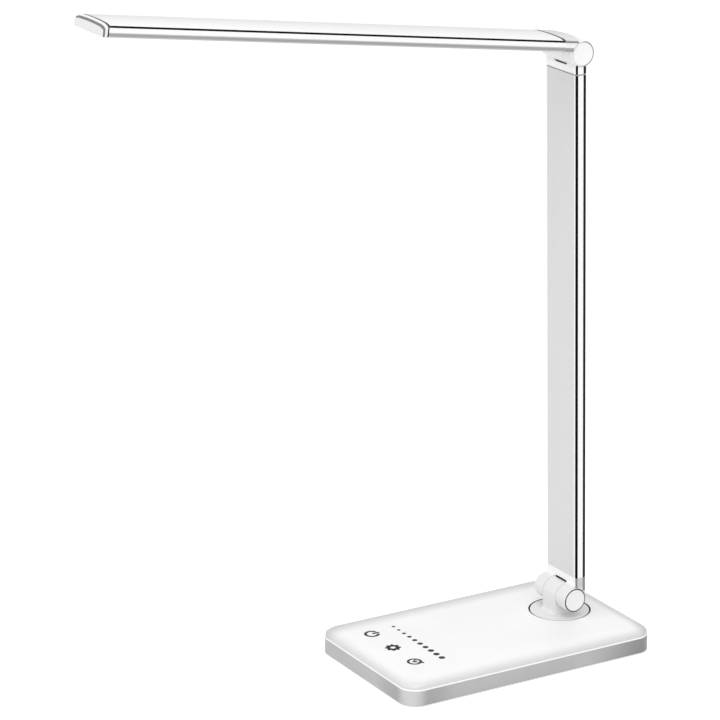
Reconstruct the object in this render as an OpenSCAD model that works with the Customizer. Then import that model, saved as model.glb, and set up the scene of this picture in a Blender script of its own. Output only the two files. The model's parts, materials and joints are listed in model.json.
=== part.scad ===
// Folding LED desk lamp. A flat base with touch keys carries a swivel foot, a flat stem
// and a flat lamp arm, which fold on two friction hinges.
// The origin is on the desk under the middle of the base. X runs along the hinge shafts,
// the arm reaches towards -Y and Z is up. All sizes are in millimetres and degrees.

/* [Base] */
// Length of the base, front to back
base_l = 165; // [150:1:220]
// Width of the base
base_w = 100; // [96:1:140]
// Corner radius of the base, seen from above
base_r = 10; // [9:0.5:16]
// Height of the silver band
band_h = 8.6; // [8.4:0.1:12]
// Wall of the silver band
band_t = 1.6; // [1.2:0.1:2.2]
// Rise of the crowned cover above the band
crown_h = 5.7; // [4.6:0.1:7]
// Width of the crowned edge of the cover
crown_run = 16; // [12:0.5:20]
// Wall of the moulded cover
cover_t = 2; // [1.6:0.1:2.4]
// Thickness of the bottom plate
plate_t = 2; // [1.8:0.1:3]
// Thickness of the anti-slip pad
pad_t = 1.4; // [1.2:0.1:2.4]
// Depth of the pad's seat in the bottom plate
pad_seat = 0.8; // [0.5:0.1:0.9]
// Margin of the pad inside the base outline
pad_margin = 9; // [7:0.5:9.5]
// Inset of the base screws from the sides of the base
screw_inset = 12; // [11.5:0.5:14]

/* [Base insides] */
// Gap between the steel counterweight and the front screw bosses
weight_front = 9.9; // [4:0.1:20]
// Distance of the counterweight from the swivel axis
weight_back = 37.5; // [36:0.5:60]
// Width of the steel counterweight
weight_w = 76; // [40:1:80]
// Thickness of the steel counterweight
weight_t = 5; // [3:0.1:5.6]
// Length of the touch board under the keys, across the base
touch_w = 60; // [56:1:64]
// Offset of the keys and their board from the middle of the base
touch_x = -3.6; // [-4:0.1:4]
// Distance of the middle of the touch board from the front edge
touch_front = 29.5; // [28:0.5:34]
// Thickness of the circuit boards
board_t = 1.2; // [0.8:0.1:1.6]
// Distance of each socket from the side of the base
socket_inset = 26; // [25:0.5:27]
// Width of the USB socket outside
usb_w = 13.2; // [12.6:0.1:13.4]
// Height of the USB socket outside
usb_h = 5.7; // [5.4:0.1:5.8]
// Diameter of the power socket's nose
jack_d = 5.6; // [5:0.1:5.8]
// Diameter of the power socket's bore
jack_bore = 3.7; // [3.4:0.1:3.9]

/* [Swivel foot] */
// Distance of the swivel axis from the rear edge of the base
swivel_back = 32; // [30:0.5:34]
// Radius of the swivel disc
disc_r = 17.2; // [16.5:0.1:18]
// Width of the ring gap round the disc
disc_gap = 0.7; // [0.35:0.05:1]
// Height of the disc above the cover
disc_proud = 0.1; // [0:0.1:1]
// Height of the lower hinge axis above the disc
boss_h = 10.7; // [10:0.1:16]
// Radius of the neck that turns in the cover
neck_r = 8.8; // [8:0.1:9]
// Swing of the swivel each way from the middle
swivel_swing = 45; // [30:1:60]

/* [Hinges] */
// Radius of the hinge knuckles
knuckle_r = 7.5; // [7.3:0.1:8]
// Half length of a hinge over its end caps
hinge_half = 16; // [15.5:0.1:16.8]
// Half width of the middle knuckle, to the seam
mid_half = 6.5; // [6.4:0.1:6.8]
// Thickness of the hinge end caps
cap_t = 1.4; // [1:0.1:1.8]
// Step between the knuckle and the end cap
cap_step = 0.4; // [0.2:0.1:0.8]
// Radius of the hollow hinge shafts
shaft_r = 3; // [2.8:0.1:3.2]
// Radius of the wire bore in the shafts
shaft_bore = 1.6; // [1.4:0.1:1.8]

/* [Stem] */
// Distance between the two hinge axes, along the stem
stem_span = 322; // [220:1:400]
// Width of the stem
stem_w = 30.8; // [30:0.1:31.2]
// Thickness of the stem
stem_t = 6.8; // [6.4:0.1:7]
// Wall of the stem extrusion
stem_wall = 1.2; // [1:0.1:1.4]
// Bright-cut edge of the stem
stem_edge = 0.9; // [0.4:0.1:1]
// Forward lean of the stem at rest
stem_lean = 1.3; // [-5:0.1:5]
// Distance of the upper hinge axis behind the middle of the stem
upper_shift = 0.6; // [0.5:0.05:1]
// Height of the lower bracket's seam above the lower hinge axis
low_seam = 12.8; // [12:0.1:20]
// Depth of the upper bracket's seam below the upper hinge axis
up_seam = 11.3; // [11:0.1:20]

/* [Arm] */
// Reach of the arm from the upper hinge axis to its tip
arm_reach = 295; // [200:0.1:306]
// Width of the arm
arm_w = 34.8; // [34.6:0.1:38]
// Height of the arm's underside above the upper hinge axis
arm_low = 1.05; // [0.8:0.05:1.6]
// Height of the arm's sides
arm_side = 5.8; // [5.4:0.1:6.5]
// Rise of the arm's crowned top
arm_crown = 1.3; // [1.2:0.1:1.6]
// Bright-cut edge of the arm
arm_edge = 0.8; // [0.3:0.1:1]
// Rise of the arm above level at rest
arm_rise = 8.1; // [0:0.1:20]
// Distance of the arm bracket's seam from the upper hinge axis
arm_seam = 13.4; // [12:0.1:20]
// Length of the tip cap
tip_l = 2.9; // [2.4:0.1:5]
// Thickness of the milky diffuser
diffuser_t = 0.8; // [0.6:0.05:0.9]
// Width of the light board
led_w = 17; // [12:0.5:17]
// Number of light emitters in a row
led_count = 24; // [8:1:30]

/* [Clearances] */
// Gap of a shaft in its bore
running_fit = 0.05; // [0.02:0.01:0.1]
// Gap round pieces that are seated and don't move
seat_fit = 0.1; // [0.05:0.01:0.15]
// Gap between pieces that turn past each other
turning_gap = 0.35; // [0.3:0.01:0.45]
// Gap between the folded stem and the arm over it
nest_gap = 0.45; // [0.3:0.05:0.6]

/* [Hidden] */
$fn = 96;
over = 0.01; // a cut runs this far past the face that it opens

// heights in the base, from the desk up
pad_r = 6;
band_z = pad_t - pad_seat;
plate_top = band_z + plate_t;
lip_h = 1;
lip_w = 1.2;
band_top = band_z + band_h;
base_top = band_top + crown_h;

// the crowned edge is one arc that ends level at the flat of the cover; its outer part goes
// round the corners, and its inner part is a low roof on top of that
edge_run = min(crown_run - 1, base_r - 0.5);
crown_r = (crown_run * crown_run + crown_h * crown_h) / (2 * crown_h);
roof_run = crown_run - edge_run;
roof_z = base_top - crown_r + sqrt(crown_r * crown_r - roof_run * roof_run);
ceiling_z = roof_z - cover_t;
inner_drop = 2.6;
skirt_inset = band_t + seat_fit;
inner_inset = skirt_inset + cover_t;

// counterweight and touch board
weight_pin_r = 2.4;
touch_y = touch_front - base_l / 2;
touch_l = 30;
chip_w = 8;
chip_t = 1.2;

// base screws and their wells in the bottom plate
screw_x = base_w / 2 - screw_inset;
screw_y = base_l / 2 - screw_inset;
screw_r = 1.4;
screw_head_r = 2.8;
screw_head_h = 1.4;
screw_l = 7;
well_floor = 0.9;
well_depth = screw_head_h + 0.1;
well_top = pad_t + well_depth + well_floor;
well_r = 4.2;
boss_r = 3.6;
screw_gap = 0.03;

// swivel, and the counterweight between it and the front bosses
swivel_y = base_l / 2 - swivel_back;
weight_l = swivel_y - weight_back + screw_y - boss_r - weight_front;
weight_y = swivel_y - weight_back - weight_l / 2;
recess_depth = 3;
recess_z = base_top - recess_depth;
bearing_t = 2.5;
bearing_z = recess_z - bearing_t;
bearing_r = disc_r + disc_gap + 2.6;
disc_top = base_top + disc_proud;
washer_t = 0.35;
washer_w = 1.4;
retainer_t = 1.2;
retainer_top = bearing_z - washer_t - 2 * running_fit;
retainer_r = neck_r + 4.7;
lug_half = 8;
lug_r = neck_r + 2;
retainer_screw_r = 1.2;
retainer_screw_at = 6;
retainer_head_r = 2.2;
retainer_head_h = 1.2;
wire_hole_r = 1.6;
floor_gap = 1;
solder_gap = 0.05;
flat_cores = 4;
flat_pitch = 1;
flat_r = 0.45;

// driver board and its sockets
driver_gap = 1.4;
driver_half = screw_x - boss_r - driver_gap;
driver_reach = 30.5;
driver_front = swivel_y - driver_reach;
coil_r = 3.5;
coil_h = 3;
capacitor_r = 2.5;
capacitor_h = 3.4;
controller = [9, 5, 1.4];
driver_rear = base_l / 2 - inner_inset - 2.8;
driver_z = plate_top + 2.6;
driver_cut_r = bearing_r + 1.5;
post_r = 2.6;
post_x = driver_half - driver_gap - post_r;
post_ys = [driver_front + 6, swivel_y + 11.5];
post_screw_r = 1;
post_head_r = 2;
post_head_h = 1;
socket_x = base_w / 2 - socket_inset;
socket_z = plate_top + 0.15 + usb_h / 2;
socket_depth = 16;
socket_back = 0.3;
usb_shell_t = 0.3;
jack_w = 6.5;
jack_l = 12;
jack_nose_l = 4.6;
jack_bore_l = 9.5;
jack_pin_r = 0.65;
usb_tongue_w = 11.2;
usb_tongue_h = 1.8;

// hinges
hinge_z = disc_top + boss_h;
mid_x = mid_half - 0.15;
outer_x = mid_half + 0.15;
knuckle_end = hinge_half - cap_t;
pocket_x = outer_x + 2.75;
pocket_r = knuckle_r - 1.5;
shaft_flat = 0.6;
shaft_head_r = shaft_r + 1.6;
shaft_head_t = 1.6;
spring_t = 0.6;
spring_count = 2;
nut_t = 2.6;
nut_x = pocket_x + spring_count * spring_t;
nut_af = 10;
shaft_end = nut_x + nut_t + 0.2;
brake_r = shaft_r + 2.4;
brake_t = 0.5;
brake_seat = 0.25;
notch_r = knuckle_r + turning_gap;
foot_fillet = 2.2;
slot_half = 5.4;
slot_depth = 1.2;
slot_rise = 0.35;

// stem: its middle plane lies behind the lower axis, so its back clears the knuckles
stem_back = 0.3;
stem_mid = knuckle_r - stem_t / 2 + stem_back;
axis_shift = stem_mid + upper_shift;
port_x = 4;
port_w = 4;
port_r = 1;
plug_l = 12;
bracket_fillet = 2.6;
tube_screw_head_r = 2;
tube_screw_head_h = 1.3;
tube_screw_l = 8;
core_r = 0.5;
core_pitch = 1.1;
wire_x = -(pocket_x + shaft_head_t + core_pitch / 2 + core_r + 0.1);
wire_slot_w = core_pitch + 2 * core_r + 0.1;
wire_slot_d = 2 * core_r + 0.6;

// arm: an inverted channel whose lips pass on both sides of the folded stem
arm_flat_top = arm_low + arm_side;
arm_top = arm_flat_top + arm_crown;
// the crown is a flat arc that rolls over into a tighter one towards each long edge
crown_flat_r = 5.75 * arm_w;
roll_r = 0.4 * arm_w;
roll_x = 0.345 * arm_w;
roll_share = 1 - roll_r / crown_flat_r;
roll_z = arm_top - crown_flat_r + sqrt(crown_flat_r * crown_flat_r - roll_x * roll_x) * roll_share;
nest_z = stem_t / 2 + upper_shift + nest_gap;
nest_half = stem_w / 2 + 0.6;
groove_half = nest_half + 0.6;
diffuser_top = nest_z + diffuser_t;
light_half = groove_half - 1.8;
light_top = diffuser_top + 0.75;
chip_h = 0.6;
led_board_t = 0.6;
led_board_z = diffuser_top + 0.05 + chip_h;
arm_tongue_l = 9;
tip_tongue_l = 6;
led_first = arm_seam + arm_tongue_l + 1;
led_last = arm_reach - tip_l - tip_tongue_l - 3;
tip_groove = 0.35;
tip_seam = 0.4;
tip_round = 1.6;

// ---------------------------------------------------------------- shapes used again

// rectangle with round corners, width along X and length along Y
module round_rect(w, l, r) {
    square([w - 2 * r, l], center = true);
    square([w, l - 2 * r], center = true);
    for (x = [-1, 1], y = [-1, 1])
        translate([x * (w / 2 - r), y * (l / 2 - r)])
            circle(r);
}

module base_outline(inset) {
    round_rect(base_w - 2 * inset, base_l - 2 * inset, max(base_r - inset, 1));
}

// cylinder along X from x0 to x1
module x_rod(r, x0, x1) {
    translate([x0, 0, 0])
        rotate([0, 90, 0])
            cylinder(r = r, h = x1 - x0);
}

// box between two corners
module span_box(low, high) {
    translate(low)
        cube(high - low);
}

module both_sides() {
    children();
    mirror([1, 0, 0])
        children();
}

module at_base_screws() {
    for (x = [-1, 1], y = [-1, 1])
        translate([x * screw_x, y * screw_y, 0])
            children();
}

module at_posts() {
    for (x = [-1, 1], y = post_ys)
        translate([x * post_x, y, 0])
            children();
}

module at_swivel() {
    translate([0, swivel_y, 0])
        children();
}

// frame of the lower hinge: Z along the stem, Y behind it
module at_lower_hinge() {
    translate([0, swivel_y, hinge_z])
        rotate([stem_lean, 0, 0])
            children();
}

module at_upper_hinge() {
    at_lower_hinge()
        translate([0, axis_shift, stem_span])
            children();
}

// frame of the arm: it reaches along -Y, its top faces +Z
module at_arm() {
    at_upper_hinge()
        rotate([-arm_rise - stem_lean, 0, 0])
            children();
}

// pan-head screw, head below z = 0 and shank above it
module pan_screw(r, l, head_r, head_h) {
    cylinder(r = r, h = l);
    translate([0, 0, -head_h])
        difference() {
            cylinder(r = head_r, h = head_h);
            for (turn = [0, 90])
                rotate(turn)
                    translate([-head_r * 0.6, -0.25, -over])
                        cube([head_r * 1.2, 0.5, head_h / 2]);
        }
}

// round core through a list of points, with a slightly swollen ball at each bend
module core(points, r) {
    for (i = [0 : len(points) - 2]) {
        run = points[i + 1] - points[i];
        reach = norm(run);
        translate(points[i])
            rotate([0, acos(run.z / reach), atan2(run.y, run.x)])
                cylinder(r = r, h = reach, $fn = 24);
        if (i > 0)
            translate(points[i])
                sphere(1.05 * r, $fn = 24);
    }
}

// ---------------------------------------------------------------- base

// half section of a crowned block, x out from the centre of a corner: an arc from the outer
// edge inwards over `run`, out of an arc that would end level after `full` at height `top`
module crown_section(r, run, full, top, flat_z, arc_r, foot) {
    translate([0, foot])
        square([r - run, flat_z - foot]);
    intersection() {
        translate([r - full, top - arc_r])
            circle(arc_r, $fn = 180);
        translate([r - run - over, foot])
            square([run + over, flat_z - foot]);
    }
}

// solid block with a crowned edge all round
module crown_block(w, l, r, run, full, top, flat_z, arc_r, foot) {
    flat_w = w - 2 * r;
    flat_l = l - 2 * r;
    translate([-flat_w / 2, -flat_l / 2, foot])
        cube([flat_w, flat_l, flat_z - foot]);
    for (turn = [0, 180])
        rotate(turn) {
            translate([flat_w / 2, flat_l / 2, 0])
                rotate([90, 0, 0])
                    linear_extrude(flat_l)
                        crown_section(r, run, full, top, flat_z, arc_r, foot);
            translate([-flat_w / 2, flat_l / 2, 0])
                rotate([90, 0, 90])
                    linear_extrude(flat_w)
                        crown_section(r, run, full, top, flat_z, arc_r, foot);
            translate([flat_w / 2, flat_l / 2, 0])
                rotate_extrude(angle = 90)
                    crown_section(r, run, full, top, flat_z, arc_r, foot);
            translate([-flat_w / 2, flat_l / 2, 0])
                rotate(90)
                    rotate_extrude(angle = 90)
                        crown_section(r, run, full, top, flat_z, arc_r, foot);
        }
}

// section of the low roof across a base of this width, from just under roof_z up
module roof_section(w) {
    half_flat = w / 2 - crown_run;
    foot = roof_z - cover_t / 2;
    translate([-half_flat, foot])
        square([2 * half_flat, base_top - foot]);
    for (side = [-1, 1])
        intersection() {
            translate([side * half_flat, base_top - crown_r])
                circle(crown_r, $fn = 180);
            translate([side * (half_flat + roof_run / 2), (foot + base_top) / 2])
                square([roof_run + over, base_top - foot], center = true);
        }
}

// low roof that carries the crown's arc on over the middle of the cover
module cover_roof() {
    intersection() {
        translate([0, base_l / 2, 0])
            rotate([90, 0, 0])
                linear_extrude(base_l)
                    roof_section(base_w);
        translate([-base_w / 2, 0, 0])
            rotate([90, 0, 90])
                linear_extrude(base_w)
                    roof_section(base_l);
        translate([0, 0, roof_z - cover_t / 2])
            linear_extrude(base_top - roof_z + cover_t)
                base_outline(edge_run);
    }
}

module anti_slip_pad() {
    color("#4a4c4f")
        linear_extrude(pad_t)
            pad_outline(0);
}

module bottom_plate() {
    color("#e9eaec")
        difference() {
            union() {
                translate([0, 0, band_z])
                    linear_extrude(plate_t)
                        base_outline(band_t + seat_fit);
                at_base_screws()
                    translate([0, 0, band_z])
                        cylinder(r = well_r, h = well_top - band_z);
                weight_pins();
            }
            translate([0, 0, band_z - over])
                linear_extrude(pad_seat + over)
                    pad_outline(0.2);
            at_base_screws() {
                translate([0, 0, band_z])
                    cylinder(r = screw_head_r + 0.2, h = well_top - well_floor - band_z);
                cylinder(r = screw_r + 0.2, h = well_top + 1);
            }
        }
}

module pad_outline(gap) {
    round_rect(base_w - 2 * (pad_margin - gap), base_l - 2 * (pad_margin - gap), pad_r + gap);
}

module at_weight_pins() {
    for (y = [-1, 1])
        translate([0, weight_y + y * weight_l / 3, plate_top - over])
            children();
}

module weight_pins() {
    at_weight_pins()
        cylinder(r = weight_pin_r, h = weight_t + over);
}

module base_screws() {
    color("#b9bcc0")
        at_base_screws()
            translate([0, 0, well_top - well_floor])
                pan_screw(screw_r, screw_l, screw_head_r, screw_head_h);
}

module silver_band() {
    color("#c3c6ca")
        difference() {
            union() {
                translate([0, 0, band_z])
                    linear_extrude(band_h)
                        difference() {
                            base_outline(0);
                            base_outline(band_t);
                        }
                translate([0, 0, plate_top])
                    linear_extrude(lip_h)
                        difference() {
                            base_outline(band_t - over);
                            base_outline(band_t + lip_w);
                        }
            }
            socket_openings();
        }
}

// openings in the rear wall for the two sockets
module socket_openings() {
    rear = base_l / 2;
    translate([socket_x, rear - socket_depth / 2 + 1, socket_z])
        cube([usb_w + 0.3, socket_depth, usb_h + 0.3], center = true);
    translate([-socket_x, rear + 1, socket_z])
        rotate([90, 0, 0])
            cylinder(r = jack_d / 2 + 0.15, h = socket_depth);
    translate([-socket_x, rear - inner_inset - 4, socket_z])
        cube([jack_w + 0.3, 8, jack_d + 0.6], center = true);
}

module base_cover() {
    inner_r = max(base_r - inner_inset, 1.5);
    skirt_r = base_r - skirt_inset;
    flat_edge = base_r - edge_run;
    inner_run = min(inner_r - flat_edge, inner_r - 0.2);
    inner_arc_r = (inner_run * inner_run + inner_drop * inner_drop) / (2 * inner_drop);
    color("#f8f8f8")
        difference() {
            union() {
                difference() {
                    union() {
                        crown_block(base_w, base_l, base_r, edge_run, crown_run, base_top,
                            roof_z, crown_r, band_top);
                        cover_roof();
                        translate([0, 0, plate_top + lip_h])
                            linear_extrude(band_top - plate_top - lip_h + over)
                                base_outline(skirt_inset);
                    }
                    crown_block(base_w - 2 * inner_inset, base_l - 2 * inner_inset, inner_r,
                        inner_run, inner_run, ceiling_z, ceiling_z, inner_arc_r, plate_top);
                }
                at_base_screws()
                    translate([0, 0, well_top])
                        cylinder(r = boss_r, h = ceiling_z - well_top + over);
                at_posts()
                    translate([0, 0, driver_z + board_t])
                        cylinder(r = post_r, h = ceiling_z - driver_z - board_t + over);
                at_swivel()
                    translate([0, 0, bearing_z])
                        cylinder(r = bearing_r, h = ceiling_z - bearing_z + over);
                at_swivel()
                    stop_lug();
            }
            at_swivel() {
                translate([0, 0, recess_z])
                    cylinder(r = disc_r + disc_gap, h = base_top);
                translate([0, 0, bearing_z - 1])
                    cylinder(r = neck_r + running_fit, h = bearing_t + 2);
            }
            at_base_screws()
                translate([0, 0, well_top - 1])
                    cylinder(r = screw_r + screw_gap, h = screw_l + 0.6);
            at_posts()
                translate([0, 0, driver_z])
                    cylinder(r = post_screw_r + screw_gap, h = board_t + 4);
            socket_openings();
        }
}

// lug under the bearing that the retainer's notch stops against
module stop_lug() {
    translate([0, 0, retainer_top - retainer_t])
        linear_extrude(bearing_z - retainer_top + retainer_t + over)
            sector(lug_r + 0.2, retainer_r, lug_half);
}

// ring sector that faces -Y, half its angle each way
module sector(r0, r1, half) {
    intersection() {
        difference() {
            circle(r1);
            circle(r0);
        }
        polygon([[0, 0], [-2 * r1 * sin(half), -2 * r1 * cos(half)], [0, -3 * r1],
            [2 * r1 * sin(half), -2 * r1 * cos(half)]]);
    }
}

module counterweight() {
    color("#8d9196")
        difference() {
            translate([0, weight_y, plate_top])
                linear_extrude(weight_t)
                    round_rect(weight_w, weight_l, 4);
            at_weight_pins()
                cylinder(r = weight_pin_r + seat_fit, h = weight_t + 1);
        }
}

module touch_board() {
    color("#2f6b46") {
        translate([touch_x, touch_y, ceiling_z - board_t])
            linear_extrude(board_t)
                round_rect(touch_w, touch_l, 1.5);
        translate([touch_x - chip_w / 2, touch_y - chip_w / 2, ceiling_z - board_t - chip_t])
            cube([chip_w, chip_w, chip_t + over]);
    }
}

module driver_board() {
    color("#2f6b46")
        difference() {
            union() {
                span_box([-driver_half, driver_front, driver_z],
                    [driver_half, driver_rear, driver_z + board_t]);
                // coil, capacitor and controller of the light driver
                translate([4 * coil_r, driver_front + 5, driver_z + board_t - over])
                    cylinder(r = coil_r, h = coil_h);
                translate([4, driver_front + 4.6, driver_z + board_t - over])
                    cylinder(r = capacitor_r, h = capacitor_h);
                translate([-2 * controller.x, driver_front + 2, driver_z + board_t - over])
                    cube(controller);
            }
            at_swivel()
                translate([0, 0, driver_z - 1])
                    cylinder(r = driver_cut_r, h = board_t + 2);
            span_box([-driver_cut_r, swivel_y, driver_z - 1],
                [driver_cut_r - 6.5, driver_rear + 1, driver_z + board_t + 1]);
            socket_cut(socket_x, usb_w, driver_rear - socket_rear_y() + socket_depth);
            socket_cut(-socket_x, jack_w, driver_rear - socket_rear_y() + jack_l);
            at_posts()
                translate([0, 0, driver_z - 1])
                    cylinder(r = post_screw_r + 0.2, h = board_t + 2);
        }
}

function socket_rear_y() = base_l / 2 - socket_back;

// notch in the rear edge of the board for a sunk socket
module socket_cut(x, w, depth) {
    translate([x - w / 2 - 0.15, driver_rear - depth - 0.15, driver_z - 1])
        cube([w + 0.3, depth + 2, board_t + 2]);
}

module board_screws() {
    color("#b9bcc0")
        at_posts()
            translate([0, 0, driver_z])
                pan_screw(post_screw_r, 4.6, post_head_r, post_head_h);
}

module dc_jack() {
    color("#26282b")
        translate([-socket_x, socket_rear_y(), socket_z])
            difference() {
                union() {
                    rotate([90, 0, 0])
                        cylinder(r = jack_d / 2, h = jack_nose_l + over);
                    translate([-jack_w / 2, -jack_l, -jack_d / 2])
                        cube([jack_w, jack_l - jack_nose_l, jack_d]);
                }
                translate([0, over, 0])
                    rotate([90, 0, 0])
                        cylinder(r = jack_bore / 2, h = jack_bore_l + over);
            }
}

module dc_jack_contact() {
    color("#c9a54a")
        translate([-socket_x, socket_rear_y() - jack_bore_l, socket_z])
            rotate([-90, 0, 0])
                cylinder(r = jack_pin_r, h = jack_bore_l - 1);
}

module usb_socket() {
    color("#b9bcc0")
        translate([socket_x, socket_rear_y() - socket_depth, socket_z])
            difference() {
                translate([-usb_w / 2, 0, -usb_h / 2])
                    cube([usb_w, socket_depth, usb_h]);
                translate([-usb_w / 2 + usb_shell_t, 2, -usb_h / 2 + usb_shell_t])
                    cube([usb_w - 2 * usb_shell_t, socket_depth, usb_h - 2 * usb_shell_t]);
            }
}

module usb_tongue() {
    color("#f2f2f2")
        translate([socket_x, socket_rear_y() - socket_depth + 2, socket_z + 0.6])
            translate([-usb_tongue_w / 2, 0, 0])
                cube([usb_tongue_w, socket_depth - 4, usb_tongue_h]);
}

module base_wires() {
    color("#d8342c")
        // pair of cores that rises on the swivel axis to the lower shaft
        for (side = [-1, 1]) {
            x = side * core_pitch / 2;
            core([[x, driver_front + 3, driver_z - core_r - solder_gap],
                [x, swivel_y - 14, plate_top + floor_gap],
                [x, swivel_y - 2, plate_top + floor_gap], [x, swivel_y, plate_top + 3],
                [x, swivel_y, hinge_z - shaft_r - 0.6]], core_r);
        }
    color("#e8e8e8")
        // flat cable from the driver board to the touch board
        for (i = [0 : flat_cores - 1]) {
            x = touch_x - 3 + i * flat_pitch;
            core([[x, driver_front + 1, driver_z + board_t + flat_r],
                [x, driver_front - 5, plate_top + weight_t + 0.7],
                [x, touch_y + 20, plate_top + weight_t + 0.7],
                [x, touch_y + 12, ceiling_z - board_t - flat_r]], flat_r);
        }
}

// ---------------------------------------------------------------- swivel foot

// half section of the disc with its neck
module disc_section() {
    edge = 0.3;
    low = recess_z + running_fit;
    translate([0, retainer_top])
        square([neck_r, low - retainer_top + over]);
    translate([0, low])
        square([disc_r - edge, disc_top - low]);
    translate([0, low])
        square([disc_r, disc_top - low - edge]);
    translate([disc_r - edge, disc_top - edge])
        circle(edge);
}

module swivel_foot() {
    post_h = hinge_z - disc_top;
    color("#f1f1f2")
        at_swivel()
            difference() {
                union() {
                    rotate_extrude()
                        disc_section();
                    translate([0, 0, hinge_z])
                        x_rod(knuckle_r, -mid_x, mid_x);
                    translate([-mid_x, -knuckle_r, disc_top - over])
                        cube([2 * mid_x, 2 * knuckle_r, post_h + over]);
                    for (turn = [0, 180])
                        rotate(turn)
                            translate([0, -knuckle_r, disc_top])
                                foot_cove(2 * mid_x);
                    for (turn = [90, 270])
                        rotate(turn)
                            translate([0, -mid_x, disc_top])
                                foot_cove(2 * knuckle_r);
                }
                translate([0, 0, hinge_z])
                    x_rod(shaft_r + running_fit, -mid_x - 1, mid_x + 1);
                both_sides()
                    translate([0, 0, hinge_z])
                        x_rod(brake_r + seat_fit, mid_x - brake_seat, mid_x + 1);
                translate([0, 0, retainer_top - 1])
                    cylinder(r = wire_hole_r, h = hinge_z - retainer_top + 1);
                at_retainer_screws()
                    translate([0, 0, retainer_top - 1])
                        cylinder(r = retainer_screw_r + screw_gap, h = 6.6);
            }
}

// cove between the post and the disc, straight along X
module foot_cove(l) {
    translate([-l / 2, 0, 0])
        rotate([90, 0, 90])
            linear_extrude(l)
                difference() {
                    translate([-foot_fillet, -over])
                        square([foot_fillet + over, foot_fillet + over]);
                    translate([-foot_fillet, foot_fillet])
                        circle(foot_fillet);
                }
}

module at_retainer_screws() {
    for (turn = [90, 210, 330])
        rotate(turn)
            translate([retainer_screw_at, 0, 0])
                children();
}

module swivel_washer() {
    color("#c2c4c6")
        at_swivel()
            translate([0, 0, bearing_z - washer_t - running_fit])
                linear_extrude(washer_t)
                    difference() {
                        circle(neck_r + 0.2 + washer_w);
                        circle(neck_r + 0.2);
                    }
}

module swivel_retainer() {
    color("#8d9196")
        at_swivel()
            translate([0, 0, retainer_top - retainer_t])
                difference() {
                    linear_extrude(retainer_t)
                        difference() {
                            circle(retainer_r);
                            sector(lug_r, retainer_r + 1, swivel_swing + lug_half + 1);
                            circle(wire_hole_r + 0.6);
                        }
                    at_retainer_screws()
                        translate([0, 0, -1])
                            cylinder(r = retainer_screw_r + 0.15, h = retainer_t + 2);
                }
}

module retainer_screws() {
    color("#b9bcc0")
        at_swivel()
            at_retainer_screws()
                translate([0, 0, retainer_top - retainer_t])
                    pan_screw(retainer_screw_r, 6, retainer_head_r, retainer_head_h);
}

// ---------------------------------------------------------------- hinges

// section of the stem, with bright-cut edges
module stem_outline() {
    w = stem_w / 2;
    t = stem_t / 2;
    e = stem_edge;
    polygon([[-w + e, -t], [w - e, -t], [w, -t + e], [w, t - e], [w - e, t], [-w + e, t],
        [-w, t - e], [-w, -t + e]]);
}

// moulded bracket with two outer knuckles: its hinge axis is X, the stem leaves along +Z
// with its middle plane at y = mid
module bracket(mid, seam) {
    difference() {
        union() {
            translate([0, mid, 0])
                linear_extrude(seam)
                    stem_outline();
            both_sides()
                x_rod(knuckle_r, outer_x, knuckle_end);
            both_sides()
                bracket_cove(mid);
            both_sides()
                translate([0, mid, seam - over])
                    linear_extrude(plug_l)
                        translate([port_x + port_w / 2 + seat_fit, -plug_t() / 2])
                            square([plug_w(), plug_t()]);
        }
        // room for the middle knuckle
        x_rod(notch_r, -outer_x, outer_x);
        span_box([-outer_x, -notch_r, -notch_r], [outer_x, notch_r, 0]);
        // narrow slot over the middle knuckle, seen from the front
        span_box([-slot_half, mid - stem_t / 2 - 1, 0],
            [slot_half, mid - stem_t / 2 + slot_depth, notch_r + slot_rise]);
        // seats of the end caps, pockets for the shaft's head and nut, and the shaft's own holes
        both_sides() {
            x_rod(knuckle_r - cap_step + seat_fit, knuckle_end, hinge_half + 1);
            x_rod(pocket_r, pocket_x, knuckle_end + 1);
        }
        x_rod(shaft_r + seat_fit, 0, pocket_x + 1);
        intersection() {
            x_rod(shaft_r + seat_fit, -pocket_x - 1, 0);
            span_box([-pocket_x - 1, -shaft_r - 1, -shaft_r + shaft_flat - seat_fit],
                [0, shaft_r + 1, shaft_r - shaft_flat + seat_fit]);
        }
        // way for the wires from the far pocket into the stem
        translate([wire_x - wire_slot_w / 2, mid - wire_slot_d / 2, 0])
            cube([wire_slot_w, wire_slot_d, seam + plug_l + 1]);
        // screws into the stem's ports
        for (x = [-port_x, port_x])
            translate([x, mid, 0]) {
                cylinder(r = tube_screw_head_r + 0.2, h = screw_seat(mid));
                cylinder(r = port_r + 0.15, h = seam + 1);
            }
    }
}

function plug_w() = stem_w / 2 - stem_wall - seat_fit - port_x - port_w / 2 - seat_fit;
function plug_t() = stem_t - 2 * stem_wall - 2 * seat_fit;

// height at which a bracket screw's head seats, all of it past the middle knuckle
function screw_seat(mid) = head_clear(max(abs(mid) - tube_screw_head_r, 0))
    + tube_screw_head_h + 0.05;
function head_clear(y) = sqrt(notch_r * notch_r - y * y);

// cove that leads the front of the stem into an outer knuckle, touching both without a step
module bracket_cove(mid) {
    front = mid - stem_t / 2;
    y = front - bracket_fillet;
    reach = knuckle_r + bracket_fillet;
    z = sqrt(reach * reach - y * y);
    touch = knuckle_r / reach;
    translate([outer_x, 0, 0])
        rotate([90, 0, 90])
            linear_extrude(knuckle_end - outer_x)
                difference() {
                    polygon([[front + over, 0.6 * z], [touch * y * 0.98, touch * z * 0.98],
                        [touch * y, touch * z], [front, z], [front + over, z]]);
                    translate([y, z])
                        circle(bracket_fillet);
                }
}

module lower_bracket() {
    color("#efefef")
        at_lower_hinge()
            bracket(stem_mid, low_seam);
}

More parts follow.
